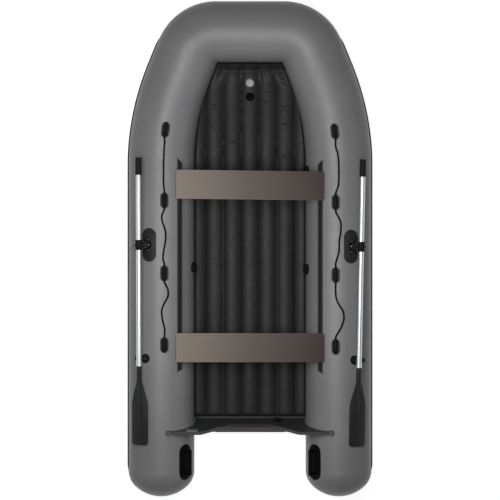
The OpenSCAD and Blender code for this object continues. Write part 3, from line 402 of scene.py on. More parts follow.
@dataclass(frozen=True)
class FacedPly(Finish):
    """Plywood under a thin film: faint grain along X, light and shade painted on the film (lighter at the
    port end, darker at the starboard end, painted highlights on the rims), and sealed, layered edges.
    """

    wear: Pair = (0.06, 0.1)
    worn_from: float = 0.3
    # Colour of the starboard end and gain of the middle are painted shade; a rim gain over 1 paints
    # highlights on the rims
    shaded_end_colour: Colour = (0.05, 0.048, 0.048)
    edge_colour: Colour = (0.2, 0.17, 0.14)
    edge_dark: float = 0.6
    mid_shade_gain: float = 0.76
    rim_highlight_gain: float = 1.0
    half_length: float = 0.47
    ply: float = 0.003
    ply_wobble: float = 0.6
    ply_tones: Pair = (0.2, 0.8)
    face_from: Pair = (0.3, 0.7)
    rim: float = 0.006
    face_axis: str = "Z"
    grain_stretch: Point = (1.5, 26, 26)
    grain_size: float = 0.25
    grain_dark: float = 0.8
    grain_share: float = 0.99
    grain_depth: float = 0.00006

    def film(self, kit: NodeKit, grain: Socket) -> Socket:
        """Gives the film's colour with painted light: it fades from the lit port end through a darker middle
        to painted shade at the starboard end, and has painted highlights along the rims.

        Args:
            kit: Nodes of the material.
            grain: Grain of the face.

        Returns:
            The colour socket.
        """
        along = kit.span(kit.part(kit.place(Space.OBJECT), "X"), -self.half_length, self.half_length, 0, 1)
        mid = toned(tuple((a + b) / 2 for a, b in zip(self.colour, self.shaded_end_colour)), self.mid_shade_gain)
        face = kit.shade(along, (0.0, self.colour), (0.5, mid), (1.0, self.shaded_end_colour))
        streaks = kit.shade(grain, (CLOUDY[0], (self.grain_dark,) * 3), (CLOUDY[1], WHITE))
        film = kit.blend(self.grain_share, face, streaks, "MULTIPLY")
        # Painted highlight on the rims, where the rounded edges catch light
        if self.rim_highlight_gain > 1:
            highlighted_film = kit.blend(self.grain_share, film, (*(self.rim_highlight_gain,) * 3, 1), "MULTIPLY")
            film = kit.blend(kit.edges(self.rim), film, highlighted_film)
        return film

    def lay_out(self, kit: NodeKit) -> None:
        """Lays out the film with its grain, and the layers on the edges.

        Args:
            kit: Nodes of the material.
        """
        grain = kit.noise(kit.place(Space.OBJECT, self.grain_stretch), self.grain_size, detail=6)
        plies = kit.bands(kit.place(Space.OBJECT), self.ply, self.face_axis, self.ply_wobble)
        dark, light = self.ply_tones
        layers = kit.shade(plies, (dark, toned(self.edge_colour, self.edge_dark)), (light, self.edge_colour))
        upright = kit.part(kit.place(Space.NORMAL), self.face_axis)
        facing = kit.span(kit.combine("MULTIPLY", upright, upright), *self.face_from, 0, 1)
        kit.dress({"Base Color": kit.blend(facing, layers, self.film(kit, grain)),
                   "Roughness": self.worn(kit, grain)})
        kit.relief((grain, self.grain_depth))


@dataclass(frozen=True)
class DrawnMetal(Finish):
    """Drawn metal: fine lines along Y under a clear anodised skin."""

    wear: Pair = (0.02, 0.04)
    line: float = 0.0006
    line_stretch: Point = (1, 0.02, 1)
    line_depth: float = 0.000008
    dull_size: float = 0.05

    def lay_out(self, kit: NodeKit) -> None:
        """Lays out the draw lines and dulled patches.

        Args:
            kit: Nodes of the material.
        """
        lines = kit.noise(kit.place(Space.OBJECT, self.line_stretch), self.line, detail=2)
        dull = kit.noise(kit.place(Space.OBJECT), self.dull_size, detail=4)
        kit.dress({"Base Color": self.tone(kit), "Metallic": 1.0, "Roughness": self.worn(kit, dull)})
        kit.relief((lines, self.line_depth))


@dataclass(frozen=True)
class RopeYarn(Finish):
    """Rope: fine yarns that run along each twisted strand.

    The dark and the faded tone are each a place among the yarns and a gain.
    """

    worn_from: float = 0.3
    yarn: float = 0.0009
    yarn_turn: float = 0.5
    yarn_wobble: float = 1.5
    yarn_depth: float = 0.0002
    fuzz_size: float = 0.0015
    fuzz_depth: float = 0.0001
    dark: Pair = (0.1, 0.6)
    faded: Pair = (0.6, 1.6)
    sheen: float = 0.04

    def lay_out(self, kit: NodeKit) -> None:
        """Lays out yarns, fuzz and faded tops.

        Args:
            kit: Nodes of the material.
        """
        yarns = kit.bands(kit.place(Space.SURFACE, turn=self.yarn_turn), self.yarn, "X", self.yarn_wobble)
        fuzz = kit.noise(kit.place(Space.OBJECT), self.fuzz_size, detail=3)
        stops = [(place, toned(self.colour, gain)) for place, gain in (self.dark, self.faded)]
        kit.dress({"Base Color": kit.shade(kit.combine("MULTIPLY", yarns, fuzz), *stops),
                   "Roughness": self.worn(kit, fuzz), "Sheen Weight": self.sheen})
        kit.relief((yarns, self.yarn_depth), (fuzz, self.fuzz_depth))


TUBE_FABRIC = CoatedFabric("tube_fabric", "tube_fabric", (0.15, 0.151, 0.155), 0.43, 0.05, 0.3, 0.32)
FLOOR_FABRIC = CoatedFabric("floor_fabric", "floor_fabric", (0.0138, 0.0141, 0.0145), 0.45, 0.12, 0.12, 0.12,
                            slack=0.0002)
EDGE_TAPE = CoatedFabric("edge_tape", "floor_fabric", (0.034, 0.034, 0.035), 0.5, 0.1, 0.05, 0.2)
# Near-black sheet over the floor's front edge: painted shadow of the bow tube
FRONT_PAINTED_SHADE = CoatedFabric("front_painted_shade", "floor_fabric", (0.0045, 0.0046, 0.0047), 0.5, 0.1, 0.05, 0.06)
BLACK_RUBBER = MouldedPlastic("black_rubber", "black_rubber", (0.01, 0.0102, 0.0105), 0.6, gloss=0.06)
HANDLE_RUBBER = MouldedPlastic("handle_rubber", "black_rubber", (0.003, 0.0031, 0.0032), 0.5, gloss=0.03)
BLACK_PLASTIC = MouldedPlastic("black_plastic", "black_plastic", (0.006, 0.0061, 0.0063), 0.45, gloss=0.05)
VENT_PLASTIC = MouldedPlastic("vent_plastic", "black_plastic", (0.002, 0.002, 0.0021), 0.6, gloss=0.02)
BLADE_PLASTIC = MouldedPlastic("blade_plastic", "black_plastic", (0.014, 0.0142, 0.0145), 0.5, gloss=0.16)
RIM_PLASTIC = MouldedPlastic("rim_plastic", "black_plastic", (0.07, 0.0705, 0.0715), 0.5, gloss=0.15)
PAD_PLASTIC = TwoTonePlastic("pad_plastic", "black_plastic", (0.014, 0.0142, 0.0145), 0.5, gloss=0.1,
                             split=0.2228, measure=Measure.TUBE)
SLIDER_PLASTIC = MouldedPlastic("slider_plastic", "track_plastic", (0.016, 0.0163, 0.0167), 0.42, gloss=0.06)
TRACK_PLASTIC = TwoTonePlastic("track_plastic", "track_plastic", (0.14, 0.141, 0.145), 0.45, gloss=0.25,
                               high_colour=(0.012, 0.0122, 0.0125), split=0.388, blur=0.001)
GREY_PLASTIC = MouldedPlastic("grey_plastic", "grey_plastic", (0.215, 0.217, 0.22), 0.4, gloss=0.3)
PALE_PLATE = MouldedPlastic("pale_plate", "grey_plastic", (0.17, 0.172, 0.175), 0.35, 0.05, 0.02)
# The seat's film is painted lighter at the port end and darker to starboard (painted highlight and painted
# shade), with painted highlights on its rims
SEAT_PLY = FacedPly("seat_ply", "brown_ply", (0.2, 0.166, 0.142), 0.42, gloss=0.1,
                    shaded_end_colour=(0.037, 0.026, 0.023), mid_shade_gain=0.8, rim_highlight_gain=1.6)
CLAMP_PLY = FacedPly("clamp_ply", "brown_ply", (0.075, 0.066, 0.061), 0.5, shaded_end_colour=(0.07, 0.062, 0.058),
                     edge_colour=(0.09, 0.08, 0.072), half_length=0.3, face_axis="Y")
TRANSOM_PLY = FacedPly("transom_ply", "transom_ply", (0.024, 0.025, 0.027), 0.45,
                       shaded_end_colour=(0.022, 0.023, 0.025), edge_colour=(0.05, 0.048, 0.047), half_length=0.6,
                       face_axis="Y")
ALUMINIUM = DrawnMetal("aluminium_tube", "aluminium_tube", (0.5, 0.508, 0.515), 0.4, 0.03)
STEEL = DrawnMetal("steel", "steel", (0.62, 0.62, 0.61), 0.42, 0.05, 0.02)
ROPE = RopeYarn("rope", "rope", (0.0045, 0.0045, 0.0048), 0.75, gloss=0.05)


# Meshes


def put(name: str, data: bpy.types.ID, place: Point = (0, 0, 0)) -> bpy.types.Object:
    """Puts an object into the scene.

    Args:
        name: Name of the object.
        data: Its mesh, lamp or camera.
        place: Where it stands.

    Returns:
        The object.
    """
    thing = bpy.data.objects.new(name, data)
    thing.location = place
    bpy.context.scene.collection.objects.link(thing)
    return thing


def add_piece(name: str, mesh: Mesh, finish: Finish, crease: float | None = None,
              body: str = "hull") -> bpy.types.Object:
    """Adds a smooth-shaded piece that rides on a body.

    Args:
        name: Name of the piece.
        mesh: Its mesh.
        finish: Its finish.
        crease: Angle in degrees above which an edge stays sharp, or None for no sharp edge.
        body: Body that it moves with.

    Returns:
        The piece's object.
    """
    mesh.name = name
    mesh.polygons.foreach_set("use_smooth", [True] * len(mesh.polygons))
    if crease is not None:
        mesh.set_sharp_from_angle(angle=math.radians(crease))
    mesh.materials.append(finish.material())
    piece = put(name, mesh)
    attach(piece, body)
    log.info("piece %s: %d faces, on %s", name, len(mesh.polygons), body)
    return piece


def add_pair(name: str, rows: Rows, finish: Finish, crease: float, node: str = "",
             ring: bool = False) -> None:
    """Adds a port piece and its mirror image.

    Args:
        name: Name of the pieces, without the side.
        rows: Rows of the port piece.
        finish: Finish of both.
        crease: Angle in degrees above which an edge stays sharp.
        node: Node that each of them replaces, without the side, if any.
        ring: Whether the last row joins the first.
    """
    for side, shape in zip(Side, (rows, mirrored(rows))):
        piece = add_piece(f"{name}_{side.label}", lofted(shape, ring), finish, crease)
        if node:
            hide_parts(f"{node}_{side.label}")


def mirrored(rows: Rows) -> Rows:
    """Gives rows for the other side of the boat, still facing outwards."""
    return (rows * MIRROR)[:, ::-1]


def lofted(rows: Rows, ring: bool = False) -> Mesh:
    """Makes a mesh through rows of points that each close on themselves.

    Args:
        rows: Points, by row and by place round the row.
        ring: Whether the last row joins the first; otherwise the ends are closed off.

    Returns:
        The mesh, with surface coordinates in metres.
    """
    count, around = rows.shape[:2]
    j, i = np.meshgrid(np.arange(count if ring else count - 1), np.arange(around), indexing="ij")
    k, n = (i + 1) % around, (j + 1) % count
    quads = [j * around + i, j * around + k, n * around + k, n * around + i]
    faces = np.stack(quads, -1).reshape(-1, 4).tolist()
    if not ring:
        faces.append(list(range(around - 1, -1, -1)))
        faces.append(list(range((count - 1) * around, count * around)))
    mesh = bpy.data.meshes.new("loft")
    mesh.from_pydata(rows.reshape(-1, 3).tolist(), [], faces)
    mesh.update()
    round_steps = np.linalg.norm(np.diff(rows, axis=1, append=rows[:, :1]), axis=2).mean(0)
    long_steps = np.linalg.norm(np.diff(rows, axis=0, append=rows[:1]), axis=2).mean(1)
    u, v = (np.concatenate([[0], np.cumsum(steps)]) for steps in (round_steps, long_steps))
    corners = [np.stack([u[i + a], v[j + b]], -1) for a, b in ((0, 0), (1, 0), (1, 1), (0, 1))]
    laid = np.stack(corners, 2).ravel()
    flat = np.zeros(len(mesh.loops) * 2)
    flat[: laid.size] = laid
    mesh.uv_layers.new(name="surface").data.foreach_set("uv", flat)
    return mesh


def joined(meshes: Sequence[Mesh]) -> Mesh:
    """Joins meshes into one, in place of the loose ones.

    Args:
        meshes: Meshes to join.

    Returns:
        The new mesh.
    """
    whole = bmesh.new()
    for mesh in meshes:
        whole.from_mesh(mesh)
        bpy.data.meshes.remove(mesh)
    mesh = bpy.data.meshes.new("joined")
    whole.to_mesh(mesh)
    whole.free()
    return mesh


def smooth_step(t: float) -> float:
    """Gives an even ease from 0 to 1."""
    t = min(1.0, max(0.0, t))
    return t * t * (3 - 2 * t)


def unit(vectors: np.ndarray) -> np.ndarray:
    """Gives vectors of length 1."""
    return vectors / np.linalg.norm(vectors, axis=-1, keepdims=True)


def band_profile(top: float, sink: float) -> list[Pair]:
    """Gives a thin band's section: shares of its width with heights."""
    return [(0.0, -sink), (0.0, top * 0.5), (0.15, top), (0.85, top), (1.0, top * 0.5), (1.0, -sink)]


def piped(path: np.ndarray, across: np.ndarray, up: np.ndarray, size: np.ndarray) -> Rows:
    """Gives round sections along a path.

    Args:
        path: Points of the sections' middles.
        across: Directions across the path.
        up: Directions square to both.
        size: Radii, by section and by place round it.

    Returns:
        The sections.
    """
    turn = np.arange(size.shape[1]) * 2 * math.pi / size.shape[1]
    ring = np.cos(turn)[None, :, None] * across[:, None] - np.sin(turn)[None, :, None] * up[:, None]
    return path[:, None] + size[..., None] * ring


@dataclass(frozen=True)
class HullLine:
    """Centre line and section of the port tube, from the stern to the bow cross tube.

    Places along it are distances s past the bow seam, negative aft of it.
    """

    half_length: float = 1.607
    tube_offset: float = 0.579
    tube_r: float = 0.215
    corner_r: float = 0.203
    bow_r: float = 0.195
    bow_rise: float = 0.150
    shoulder_r: float = 1.495
    shoulder_angle: float = math.radians(22.7)
    shoulder_run: float = 0.165
    pivot_r: float = 0.006
    dome_l: float = 0.170
    knuckle_r: float = 0.140

    @property
    def turn(self) -> float:
        """Angle that the bow corner turns through."""
        return math.pi / 2 - self.shoulder_angle

    @property
    def corner_y(self) -> float:
        """Place of the inner bow corner along the boat."""
        return self.half_length - 2 * self.bow_r - self.pivot_r

    @property
    def bow_y(self) -> float:
        """Place of the bow cross tube's axis."""
        return self.corner_y + self.pivot_r + self.bow_r

    @property
    def stern_y(self) -> float:
        """Place where the stern domes start."""
        return self.dome_l - self.half_length

    @property
    def stern_s(self) -> float:
        """Distance of the stern domes' start past the bow seam, which is negative."""
        return self.stern_y - self.shoulder_y

    @property
    def arc_l(self) -> float:
        """Length of the shoulder's arc."""
        return self.shoulder_r * self.shoulder_angle

    @property
    def lead_l(self) -> float:
        """Length from the bow seam to the bow corner."""
        return self.arc_l + self.shoulder_run

    @property
    def fan_l(self) -> float:
        """Length round the bow corner."""
        return (self.bow_r + self.pivot_r) * self.turn

    @property
    def path_l(self) -> float:
        """Length from the bow seam to the cross tube."""
        return self.lead_l + self.fan_l

    @property
    def arc_end(self) -> Pair:
        """Place where the shoulder's arc ends.

        Returns:
            The place across the boat and along it.
        """
        lead_y = self.corner_y + (self.corner_r + self.pivot_r) * math.sin(self.shoulder_angle)
        return (-self.tube_offset + self.shoulder_r * (1 - math.cos(self.shoulder_angle)),
                lead_y - self.shoulder_run * math.cos(self.shoulder_angle))

    @property
    def shoulder_y(self) -> float:
        """Place of the bow seam, where the straight tube ends."""
        return self.arc_end[1] - self.shoulder_r * math.sin(self.shoulder_angle)

    @property
    def corner_x(self) -> float:
        """Place of the inner bow corner across the boat."""
        lead_x = self.arc_end[0] + self.shoulder_run * math.sin(self.shoulder_angle)
        return lead_x + (self.corner_r + self.pivot_r) * math.cos(self.shoulder_angle)

    def rise(self, s: float) -> float:
        """Gives the height of the axis at s over the straight tube's axis."""
        return self.bow_rise * smooth_step(s / self.path_l)

    def radius(self, s: float) -> float:
        """Gives the tube's radius.

        Args:
            s: Distance past the bow seam.

        Returns:
            The radius there.
        """
        if s <= self.lead_l:
            return self.tube_r + (self.corner_r - self.tube_r) * smooth_step(s / self.lead_l)
        return self.corner_r + (self.bow_r - self.corner_r) * min(1.0, (s - self.lead_l) / self.fan_l)

    def yaw(self, s: float) -> float:
        """Gives the turn of the axis.

        Args:
            s: Distance past the bow seam.

        Returns:
            The turn there, in radians.
        """
        if s <= self.lead_l:
            return min(max(0.0, s) / self.shoulder_r, self.shoulder_angle)
        return self.shoulder_angle + self.turn * (s - self.lead_l) / self.fan_l

    def axis(self, s: float) -> Point:
        """Gives a point of the axis.

        Args:
            s: Distance past the bow seam.

        Returns:
            The point.
        """
        yaw, z = self.yaw(s), self.tube_r + self.rise(s)
        if s <= 0:
            return (-self.tube_offset, self.shoulder_y + s, z)
        if s <= self.arc_l:
            x = -self.tube_offset + self.shoulder_r * (1 - math.cos(yaw))
            return (x, self.shoulder_y + self.shoulder_r * math.sin(yaw), z)
        if s <= self.lead_l:
            past = s - self.arc_l
            return (self.arc_end[0] + past * math.sin(yaw), self.arc_end[1] + past * math.cos(yaw), z)
        reach = self.pivot_r + self.radius(s)
        return (self.corner_x - reach * math.cos(yaw), self.corner_y + reach * math.sin(yaw), z)

    def skin(self, s: float, angles: np.ndarray | float, proud: np.ndarray | float = 0.0) -> np.ndarray:
        """Gives points on the tube's section.

        Args:
            s: Distance past the bow seam.
            angles: Angles in degrees: 0 is outboard, 90 the crown and 180 inboard.
            proud: Heights over the skin.

        Returns:
            The points, one for each angle.
        """
        x, y, z = self.axis(s)
        yaw, turn = self.yaw(s), np.radians(angles)
        size = self.radius(s) + np.asarray(proud)
        reach = size * np.cos(turn)
        return np.stack([x - reach * math.cos(yaw), y + reach * math.sin(yaw), z + size * np.sin(turn)], -1)


LINE = HullLine()
# Fairleads: distance past the bow seam and offset inboard of the crown
FAIRLEADS: Sequence[Pair] = ((0.215, 0.022), (-0.242, 0.029), (-0.710, 0.029), (-1.170, 0.029))
# How much further forward the fairleads and the rope of each side sit
SHIFTS = {Side.PORT: 0.0, Side.STARBOARD: -0.011}


@dataclass
class TubeSkins:
    """Air tubes: two sides with domed sterns and one lofted bow, with taped seams."""

    line: HullLine = LINE
    finish: Finish = TUBE_FABRIC
    sides: int = 144
    pole: float = math.radians(89.6)
    dome_steps: int = 18
    side_steps: int = 60
    shoulder_steps: int = 60
    corner_steps: int = 40
    cross_steps: int = 14
    tape_w: float = 0.032
    tape_t: float = 0.00012
    tape_feather: float = 0.003

    @property
    def angles(self) -> np.ndarray:
        """Angles of the points round a section, in degrees."""
        return np.arange(self.sides) * 360 / self.sides

    def dome_profile(self) -> list[Pair]:
        """Gives the stern dome's outline, a flat crown that rolls over a rounder knuckle.

        Returns:
            Reaches from the tube's axis with distances aft, from the pole outwards.
        """
        line = self.line
        knuckle_x, lift = line.tube_r - line.knuckle_r, line.dome_l - line.knuckle_r
        back = (knuckle_x**2 - lift**2) / (2 * lift)
        crown_r, split = line.dome_l + back, math.atan2(back, knuckle_x)
        crown = [(crown_r * math.cos(a), crown_r * math.sin(a) - back)
                 for a in np.linspace(self.pole, split, self.dome_steps)]
        knuckle = [(knuckle_x + line.knuckle_r * math.cos(a), line.knuckle_r * math.sin(a))
                   for a in np.linspace(split, 0, self.dome_steps)[1:-1]]
        return crown + knuckle

    def side_rows(self) -> Rows:
        """Gives the port side tube.

        Returns:
            Its sections from the dome's pole forward.
        """
        line, turns, rows = self.line, np.radians(self.angles), []
        for reach, aft in self.dome_profile():
            rows.append(np.stack([-line.tube_offset - reach * np.cos(turns),
                                  np.full_like(turns, line.stern_y - aft),
                                  line.tube_r + reach * np.sin(turns)], -1))
        rows += [line.skin(s, self.angles) for s in np.linspace(line.stern_s, 0, self.side_steps)]
        return np.array(rows)

    def bow_rows(self) -> Rows:
        """Gives the bow.

        Returns:
            Its sections from the port seam round to the starboard seam.
        """
        line = self.line
        places = np.concatenate([np.linspace(0, line.lead_l, self.shoulder_steps),
                                 np.linspace(line.lead_l, line.path_l, self.corner_steps)[1:]])
        port = np.array([line.skin(s, self.angles) for s in places])
        cross = [port[-1] + np.array([x - line.corner_x, 0, 0])
                 for x in np.linspace(line.corner_x, -line.corner_x, self.cross_steps)[1:-1]]
        return np.concatenate([port, np.array(cross), (port * MIRROR)[::-1]])

    def tape_rows(self, s: float) -> Rows:
        """Gives a seam tape round the tube as a thin closed band.

        Args:
            s: Distance of the seam past the bow seam.

        Returns:
            Four sections that join into a ring.
        """
        half, inner = self.tape_w / 2, self.tape_w / 2 - self.tape_feather
        profile = [(-half, -self.tape_t), (-inner, self.tape_t), (inner, self.tape_t), (half, -self.tape_t)]
        return np.array([self.line.skin(s + off, self.angles, proud) for off, proud in profile])

    def build(self) -> None:
        """Builds the skins and their seam tapes."""
        add_pair("side_skin", self.side_rows(), self.finish, crease=60, node="side_tube")
        bow = add_piece("bow_skin", lofted(self.bow_rows()), self.finish, crease=60)
        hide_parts("bow_tube", "bow_corner_port", "bow_corner_starboard", "bow_shoulder_port",
                    "bow_shoulder_starboard")
        seams = {"stern": self.line.stern_s, "shoulder": 0.0, "corner": self.line.lead_l}
        for place, s in seams.items():
            add_pair(f"seam_tape_{place}", self.tape_rows(s), self.finish, crease=40, ring=True)


@dataclass
class Strakes:
    """Moulded rubbing strakes with a ridged face, along the outer edge of the tubes."""

    line: HullLine = LINE
    height: float = 0.056
    thickness: float = 0.007
    squareness: int = 6
    gap: float = 0.0006
    ridge: float = 0.0007
    ridges: int = 3
    taper_l: float = 0.05
    tip: float = 0.1
    face_points: int = 41
    back_points: int = 15
    taper_steps: int = 10
    run_steps: int = 80

    def build(self) -> None:
        """Builds both strakes."""
        half = math.degrees(math.asin(self.height / 2 / self.line.tube_r))
        u = np.linspace(-1, 1, self.face_points)
        ridged = self.ridge * np.cos(u * self.ridges * math.pi) * (1 - u * u)
        face = (self.thickness - self.ridge) * (1 - np.abs(u) ** self.squareness) ** 0.5 + ridged
        back = np.linspace(1, -1, self.back_points)[1:-1]
        angles = half * np.concatenate([u, back])
        start, end = self.line.stern_s, self.line.lead_l
        fore, aft = end - self.taper_l, start + self.taper_l
        rows = []
        for s in np.concatenate([np.linspace(start, aft, self.taper_steps),
                                 np.linspace(aft, fore, self.run_steps)[1:-1],
                                 np.linspace(fore, end, self.taper_steps)]):
            full = self.tip + (1 - self.tip) * math.sqrt(smooth_step(min(s - start, end - s) / self.taper_l))
            proud = np.concatenate([self.gap + np.maximum(face, 0) * full, np.full(len(back), self.gap)])
            rows.append(self.line.skin(s, angles, proud))
        add_pair("strake", np.array(rows), BLACK_RUBBER, crease=50, node="rubbing_strake")


@dataclass
class AirFloor:
    """Inflated floor with lengthwise ribs, rounded rib ends and a welded flange aft."""

    line: HullLine = LINE
    columns: int = 181
    rib_pitch: float = 0.117
    rib_h: float = 0.020
    rib_round: float = 0.6
    rib_fade: float = 0.015
    rib_end_l: float = 0.028
    low_rib_h: float = 0.005
    low_flat: int = 8
    keel_depth: float = 0.018
    aft_y: float = -1.1055
    flange_l: float = 0.010
    flange_t: float = 0.010
    flange_inset: float = 0.006
    edge_gap: float = 0.0008
    # Angles in degrees below the tube's inner equator
    flange_top: float = 22.0
    edge_top: float = 15.0
    edge_low: float = 50.0
    edge_steps: int = 6
    flange_steps: int = 6
    end_steps: int = 12
    run_steps: int = 150
    lead_steps: int = 20
    front_steps: int = 40
    front_back: float = 0.012
    # Shares of the width at the top and at the bottom
    front_squeeze: Pair = (0.96, 0.8)
    front_lift: float = 0.8
    front_ribs: float = 0.8
    # Shares of the way to the bow tube over which the ribs end
    front_end: Pair = (0.27, 0.47)
    front_drop: float = 0.005
    # Middles of the folds across the rib tops
    folds: Sequence[Pair] = (
        (0.089, 1.157), (0.126, 1.081), (0.120, 1.025), (0.101, 0.969), (0.220, 1.125), (0.226, 1.088),
        (0.226, 0.936), (0.239, 0.825), (-0.234, 0.944), (-0.196, 1.164), (-0.110, 0.712), (0.232, 0.617))
    fold_depth: float = 0.0030
    fold_w: float = 0.006
    fold_l: float = 0.026
    fold_slant: float = 0.25
    fold_turn: float = 2.1
    hump_h: float = 0.0012
    hump_w: float = 0.007
    hump_off: float = 0.014
    # Height of a slight swell, its waves along and across the boat, and its start
    swells: Sequence[tuple[float, float, float, float]] = ((0.0002, 23, 40, 0.0), (0.00012, 57, -31, 1.3))
    swell_lead: float = 0.05
    tape_t: float = 0.0008
    tape_steps: int = 40
    # Front rows of the floor that the near-black sheet of painted shadow covers, and its thickness
    band_rows: int = 21
    band_t: float = 0.0008
    seam_drop: float = 0.006
    seam_t: float = 0.002
    seam_lap: float = 0.010
    seam_spread: float = 1.05
    seam_stride: int = 3

    def wave(self, x: np.ndarray) -> np.ndarray:
        """Gives the ribs' height over their troughs, from 0 to 1."""
        return np.abs(np.cos(math.pi * x / self.rib_pitch)) ** self.rib_round

    def edge(self, s: float, angle: float, full: float) -> np.ndarray:
        """Gives the floor's port edge on the tube at an angle below the inner equator."""
        return self.line.skin(s, 180 + angle, self.edge_gap + self.flange_inset * (1 - full))

    def row(self, s: float, full: float = 1.0, ribs: float = 1.0) -> np.ndarray:
        """Gives one closed section of the floor.

        Args:
            s: Distance past the bow seam.
            full: 1 over the ribs and 0 on the flange.
            ribs: Share of the ribs' height.

        Returns:
            Points over the top from port to starboard, and back along the underside.
        """
        flange_sine = math.sin(math.radians(self.flange_top)) + self.flange_t / self.line.tube_r
        flange_low = math.degrees(math.asin(flange_sine))
        top_a = self.flange_top + (self.edge_top - self.flange_top) * full
        low_a = flange_low + (self.edge_low - flange_low) * full
        port = np.array([self.edge(s, a, full) for a in np.linspace(top_a, low_a, self.edge_steps + 1)])
        top, side, low = port[0], port[1:-1], port[-1]
        u = np.linspace(-1, 1, self.columns)
        x, low_x = -top[0] * u, low[0] * u
        fade = np.clip((-top[0] - np.abs(x)) / self.rib_fade, 0, 1)
        z = top[2] + full * ribs * self.rib_h * (self.wave(x) - 0.5) * fade
        keel = self.keel_depth * (1 - np.abs(u))
        troughs = self.low_rib_h * (1 - self.wave(low_x)) * (1 - np.abs(u) ** self.low_flat)
        upper = np.stack([x, np.full_like(x, top[1]), z], -1)
        lower = np.stack([low_x, np.full_like(x, low[1]), low[2] - full * (keel - troughs)], -1)
        return np.concatenate([upper, side * MIRROR, lower, side[::-1]])

    def front_row(self, ribs: float) -> np.ndarray:
        """Gives the section that stands against the bow cross tube.

        Args:
            ribs: Share of the ribs' height.

        Returns:
            Points in the order of any other section.
        """
        line, row, ends = self.line, self.row(self.line.lead_l, ribs=ribs), (self.edge_top, self.edge_low)
        top_z, low_z = (self.edge(line.lead_l, a, 1)[2] for a in ends)
        t = np.clip((top_z - row[:, 2]) / (top_z - low_z), 0, 1)
        reach = line.bow_r + self.edge_gap
        top_y, low_y = (line.bow_y - reach * math.cos(math.radians(a)) - self.front_back for a in ends)
        wide, narrow = self.front_squeeze
        lift = self.front_lift * (line.bow_rise - line.rise(line.lead_l))
        return np.stack([row[:, 0] * (wide + (narrow - wide) * t), top_y + (low_y - top_y) * t,
                         row[:, 2] + lift], -1)

    def rows(self) -> Rows:
        """Gives the whole floor.

        Returns:
            Its sections from the flange to the bow.
        """
        line, rib_aft = self.line, self.aft_y + self.flange_l
        flange = np.linspace(self.aft_y, rib_aft, self.flange_steps)
        rows = [self.row(y - line.shoulder_y, 0.0) for y in flange]
        for t in np.linspace(0, 1, self.end_steps)[1:]:
            y = rib_aft + self.rib_end_l * t
            rows.append(self.row(y - line.shoulder_y, math.sqrt(1 - (1 - t) ** 2)))
        for start, end in ((rib_aft + self.rib_end_l - line.shoulder_y, 0), (0, line.arc_l)):
            rows += [self.row(s) for s in np.linspace(start, end, self.run_steps)[1:]]
        last, run = rows[-1], (self.row(line.arc_l) + self.row(line.lead_l)) / 2
        rows += [last + (run - last) * t for t in np.linspace(0, 1, self.lead_steps)[1:]]
        ribbed, flat = self.front_row(self.front_ribs), self.front_row(0.0)
        flat[: self.columns, 2] -= self.front_drop
        start, end = self.front_end
        for t in np.linspace(0, 1, self.front_steps + 1)[1:]:
            ended = min(1.0, max(0.0, (t - start) / (end - start)))
            front = ribbed + (flat - ribbed) * (1 - math.sqrt(1 - ended**2))
            rows.append(run + (front - run) * t)
        return np.array(rows)

    def folded(self, rows: Rows) -> Rows:
        """Presses small folds across the rib tops and a slight unevenness along them.

        Args:
            rows: Sections of the floor.

        Returns:
            The sections with the folds pressed in.
        """
        x, y = rows[:, : self.columns, 0], rows[:, : self.columns, 1]
        dip = np.zeros_like(x)
        for k, (fold_x, fold_y) in enumerate(self.folds):
            off = y - fold_y - self.fold_slant * math.sin(self.fold_turn * k) * (x - fold_x)
            along = ((x - fold_x) / self.fold_l) ** 2
            dip += self.fold_depth * np.exp(-((off / self.fold_w) ** 2) - along)
            dip -= self.hump_h * np.exp(-(((np.abs(off) - self.hump_off) / self.hump_w) ** 2) - along)
        uneven = sum(high * np.sin(long * y + wide * x + start) for high, long, wide, start in self.swells)
        inside = np.clip((y - self.aft_y - self.flange_l) / self.swell_lead, 0, 1)
        rows[:, : self.columns, 2] -= dip + uneven * inside * self.wave(x)
        return rows

    def tape_rows(self) -> Rows:
        """Gives the tape that binds the flange's top.

        Returns:
            Its sections from starboard to port.
        """
        corner = self.edge(self.aft_y - self.line.shoulder_y, self.flange_top, 0)
        reach = abs(corner[0]) - self.tape_t
        share, rise = np.array(band_profile(self.tape_t, self.tape_t)).T
        y, z = self.aft_y + self.flange_l * share, corner[2] + rise
        places = np.linspace(reach, -reach, self.tape_steps)
        return np.array([np.stack([np.full_like(y, x), y, z], -1) for x in places])

    def seam_rows(self) -> Rows:
        """Gives the strip that joins the floor's front edge to the bow cross tube.

        Returns:
            Its sections from port to starboard.
        """
        line, rows = self.line, []
        for x, y, z in self.front_row(0.0)[: self.columns: self.seam_stride]:
            top = z - self.front_drop - self.seam_drop
            tube_y = line.bow_y - math.sqrt(line.bow_r**2 - (line.tube_r + line.bow_rise - top) ** 2)
            fore, aft, low = tube_y + self.seam_lap, y - self.seam_lap, top - self.seam_t
            corners = ((fore, top), (aft, top), (aft, low), (fore, low))
            rows.append([(x * self.seam_spread, *corner) for corner in corners])
        return np.array(rows)

    def build(self) -> None:
        """Builds the floor, the tape along its aft edge, and along its front edge a near-black sheet of
        painted shadow and the seam, which takes the same dark colour.
        """
        rows = self.folded(self.rows())
        floor = add_piece("ribbed_floor", lofted(rows), FLOOR_FABRIC, crease=70)
        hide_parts("air_floor")
        add_piece("floor_edge_tape", lofted(self.tape_rows()), EDGE_TAPE, crease=40)
        # Near-black sheet over the floor's front rows, painted shadow of the bow tube; the seam below takes
        # the same dark colour
        lift = np.array([0, 0, self.band_t])
        top = rows[-self.band_rows:, : self.columns].transpose(1, 0, 2)
        band = np.concatenate([top[:, ::-1] + lift, top - lift], 1)
        add_piece("floor_front_painted_shade", lofted(band), FRONT_PAINTED_SHADE, crease=40)
        add_piece("floor_front_seam", lofted(self.seam_rows()), FRONT_PAINTED_SHADE, crease=40)


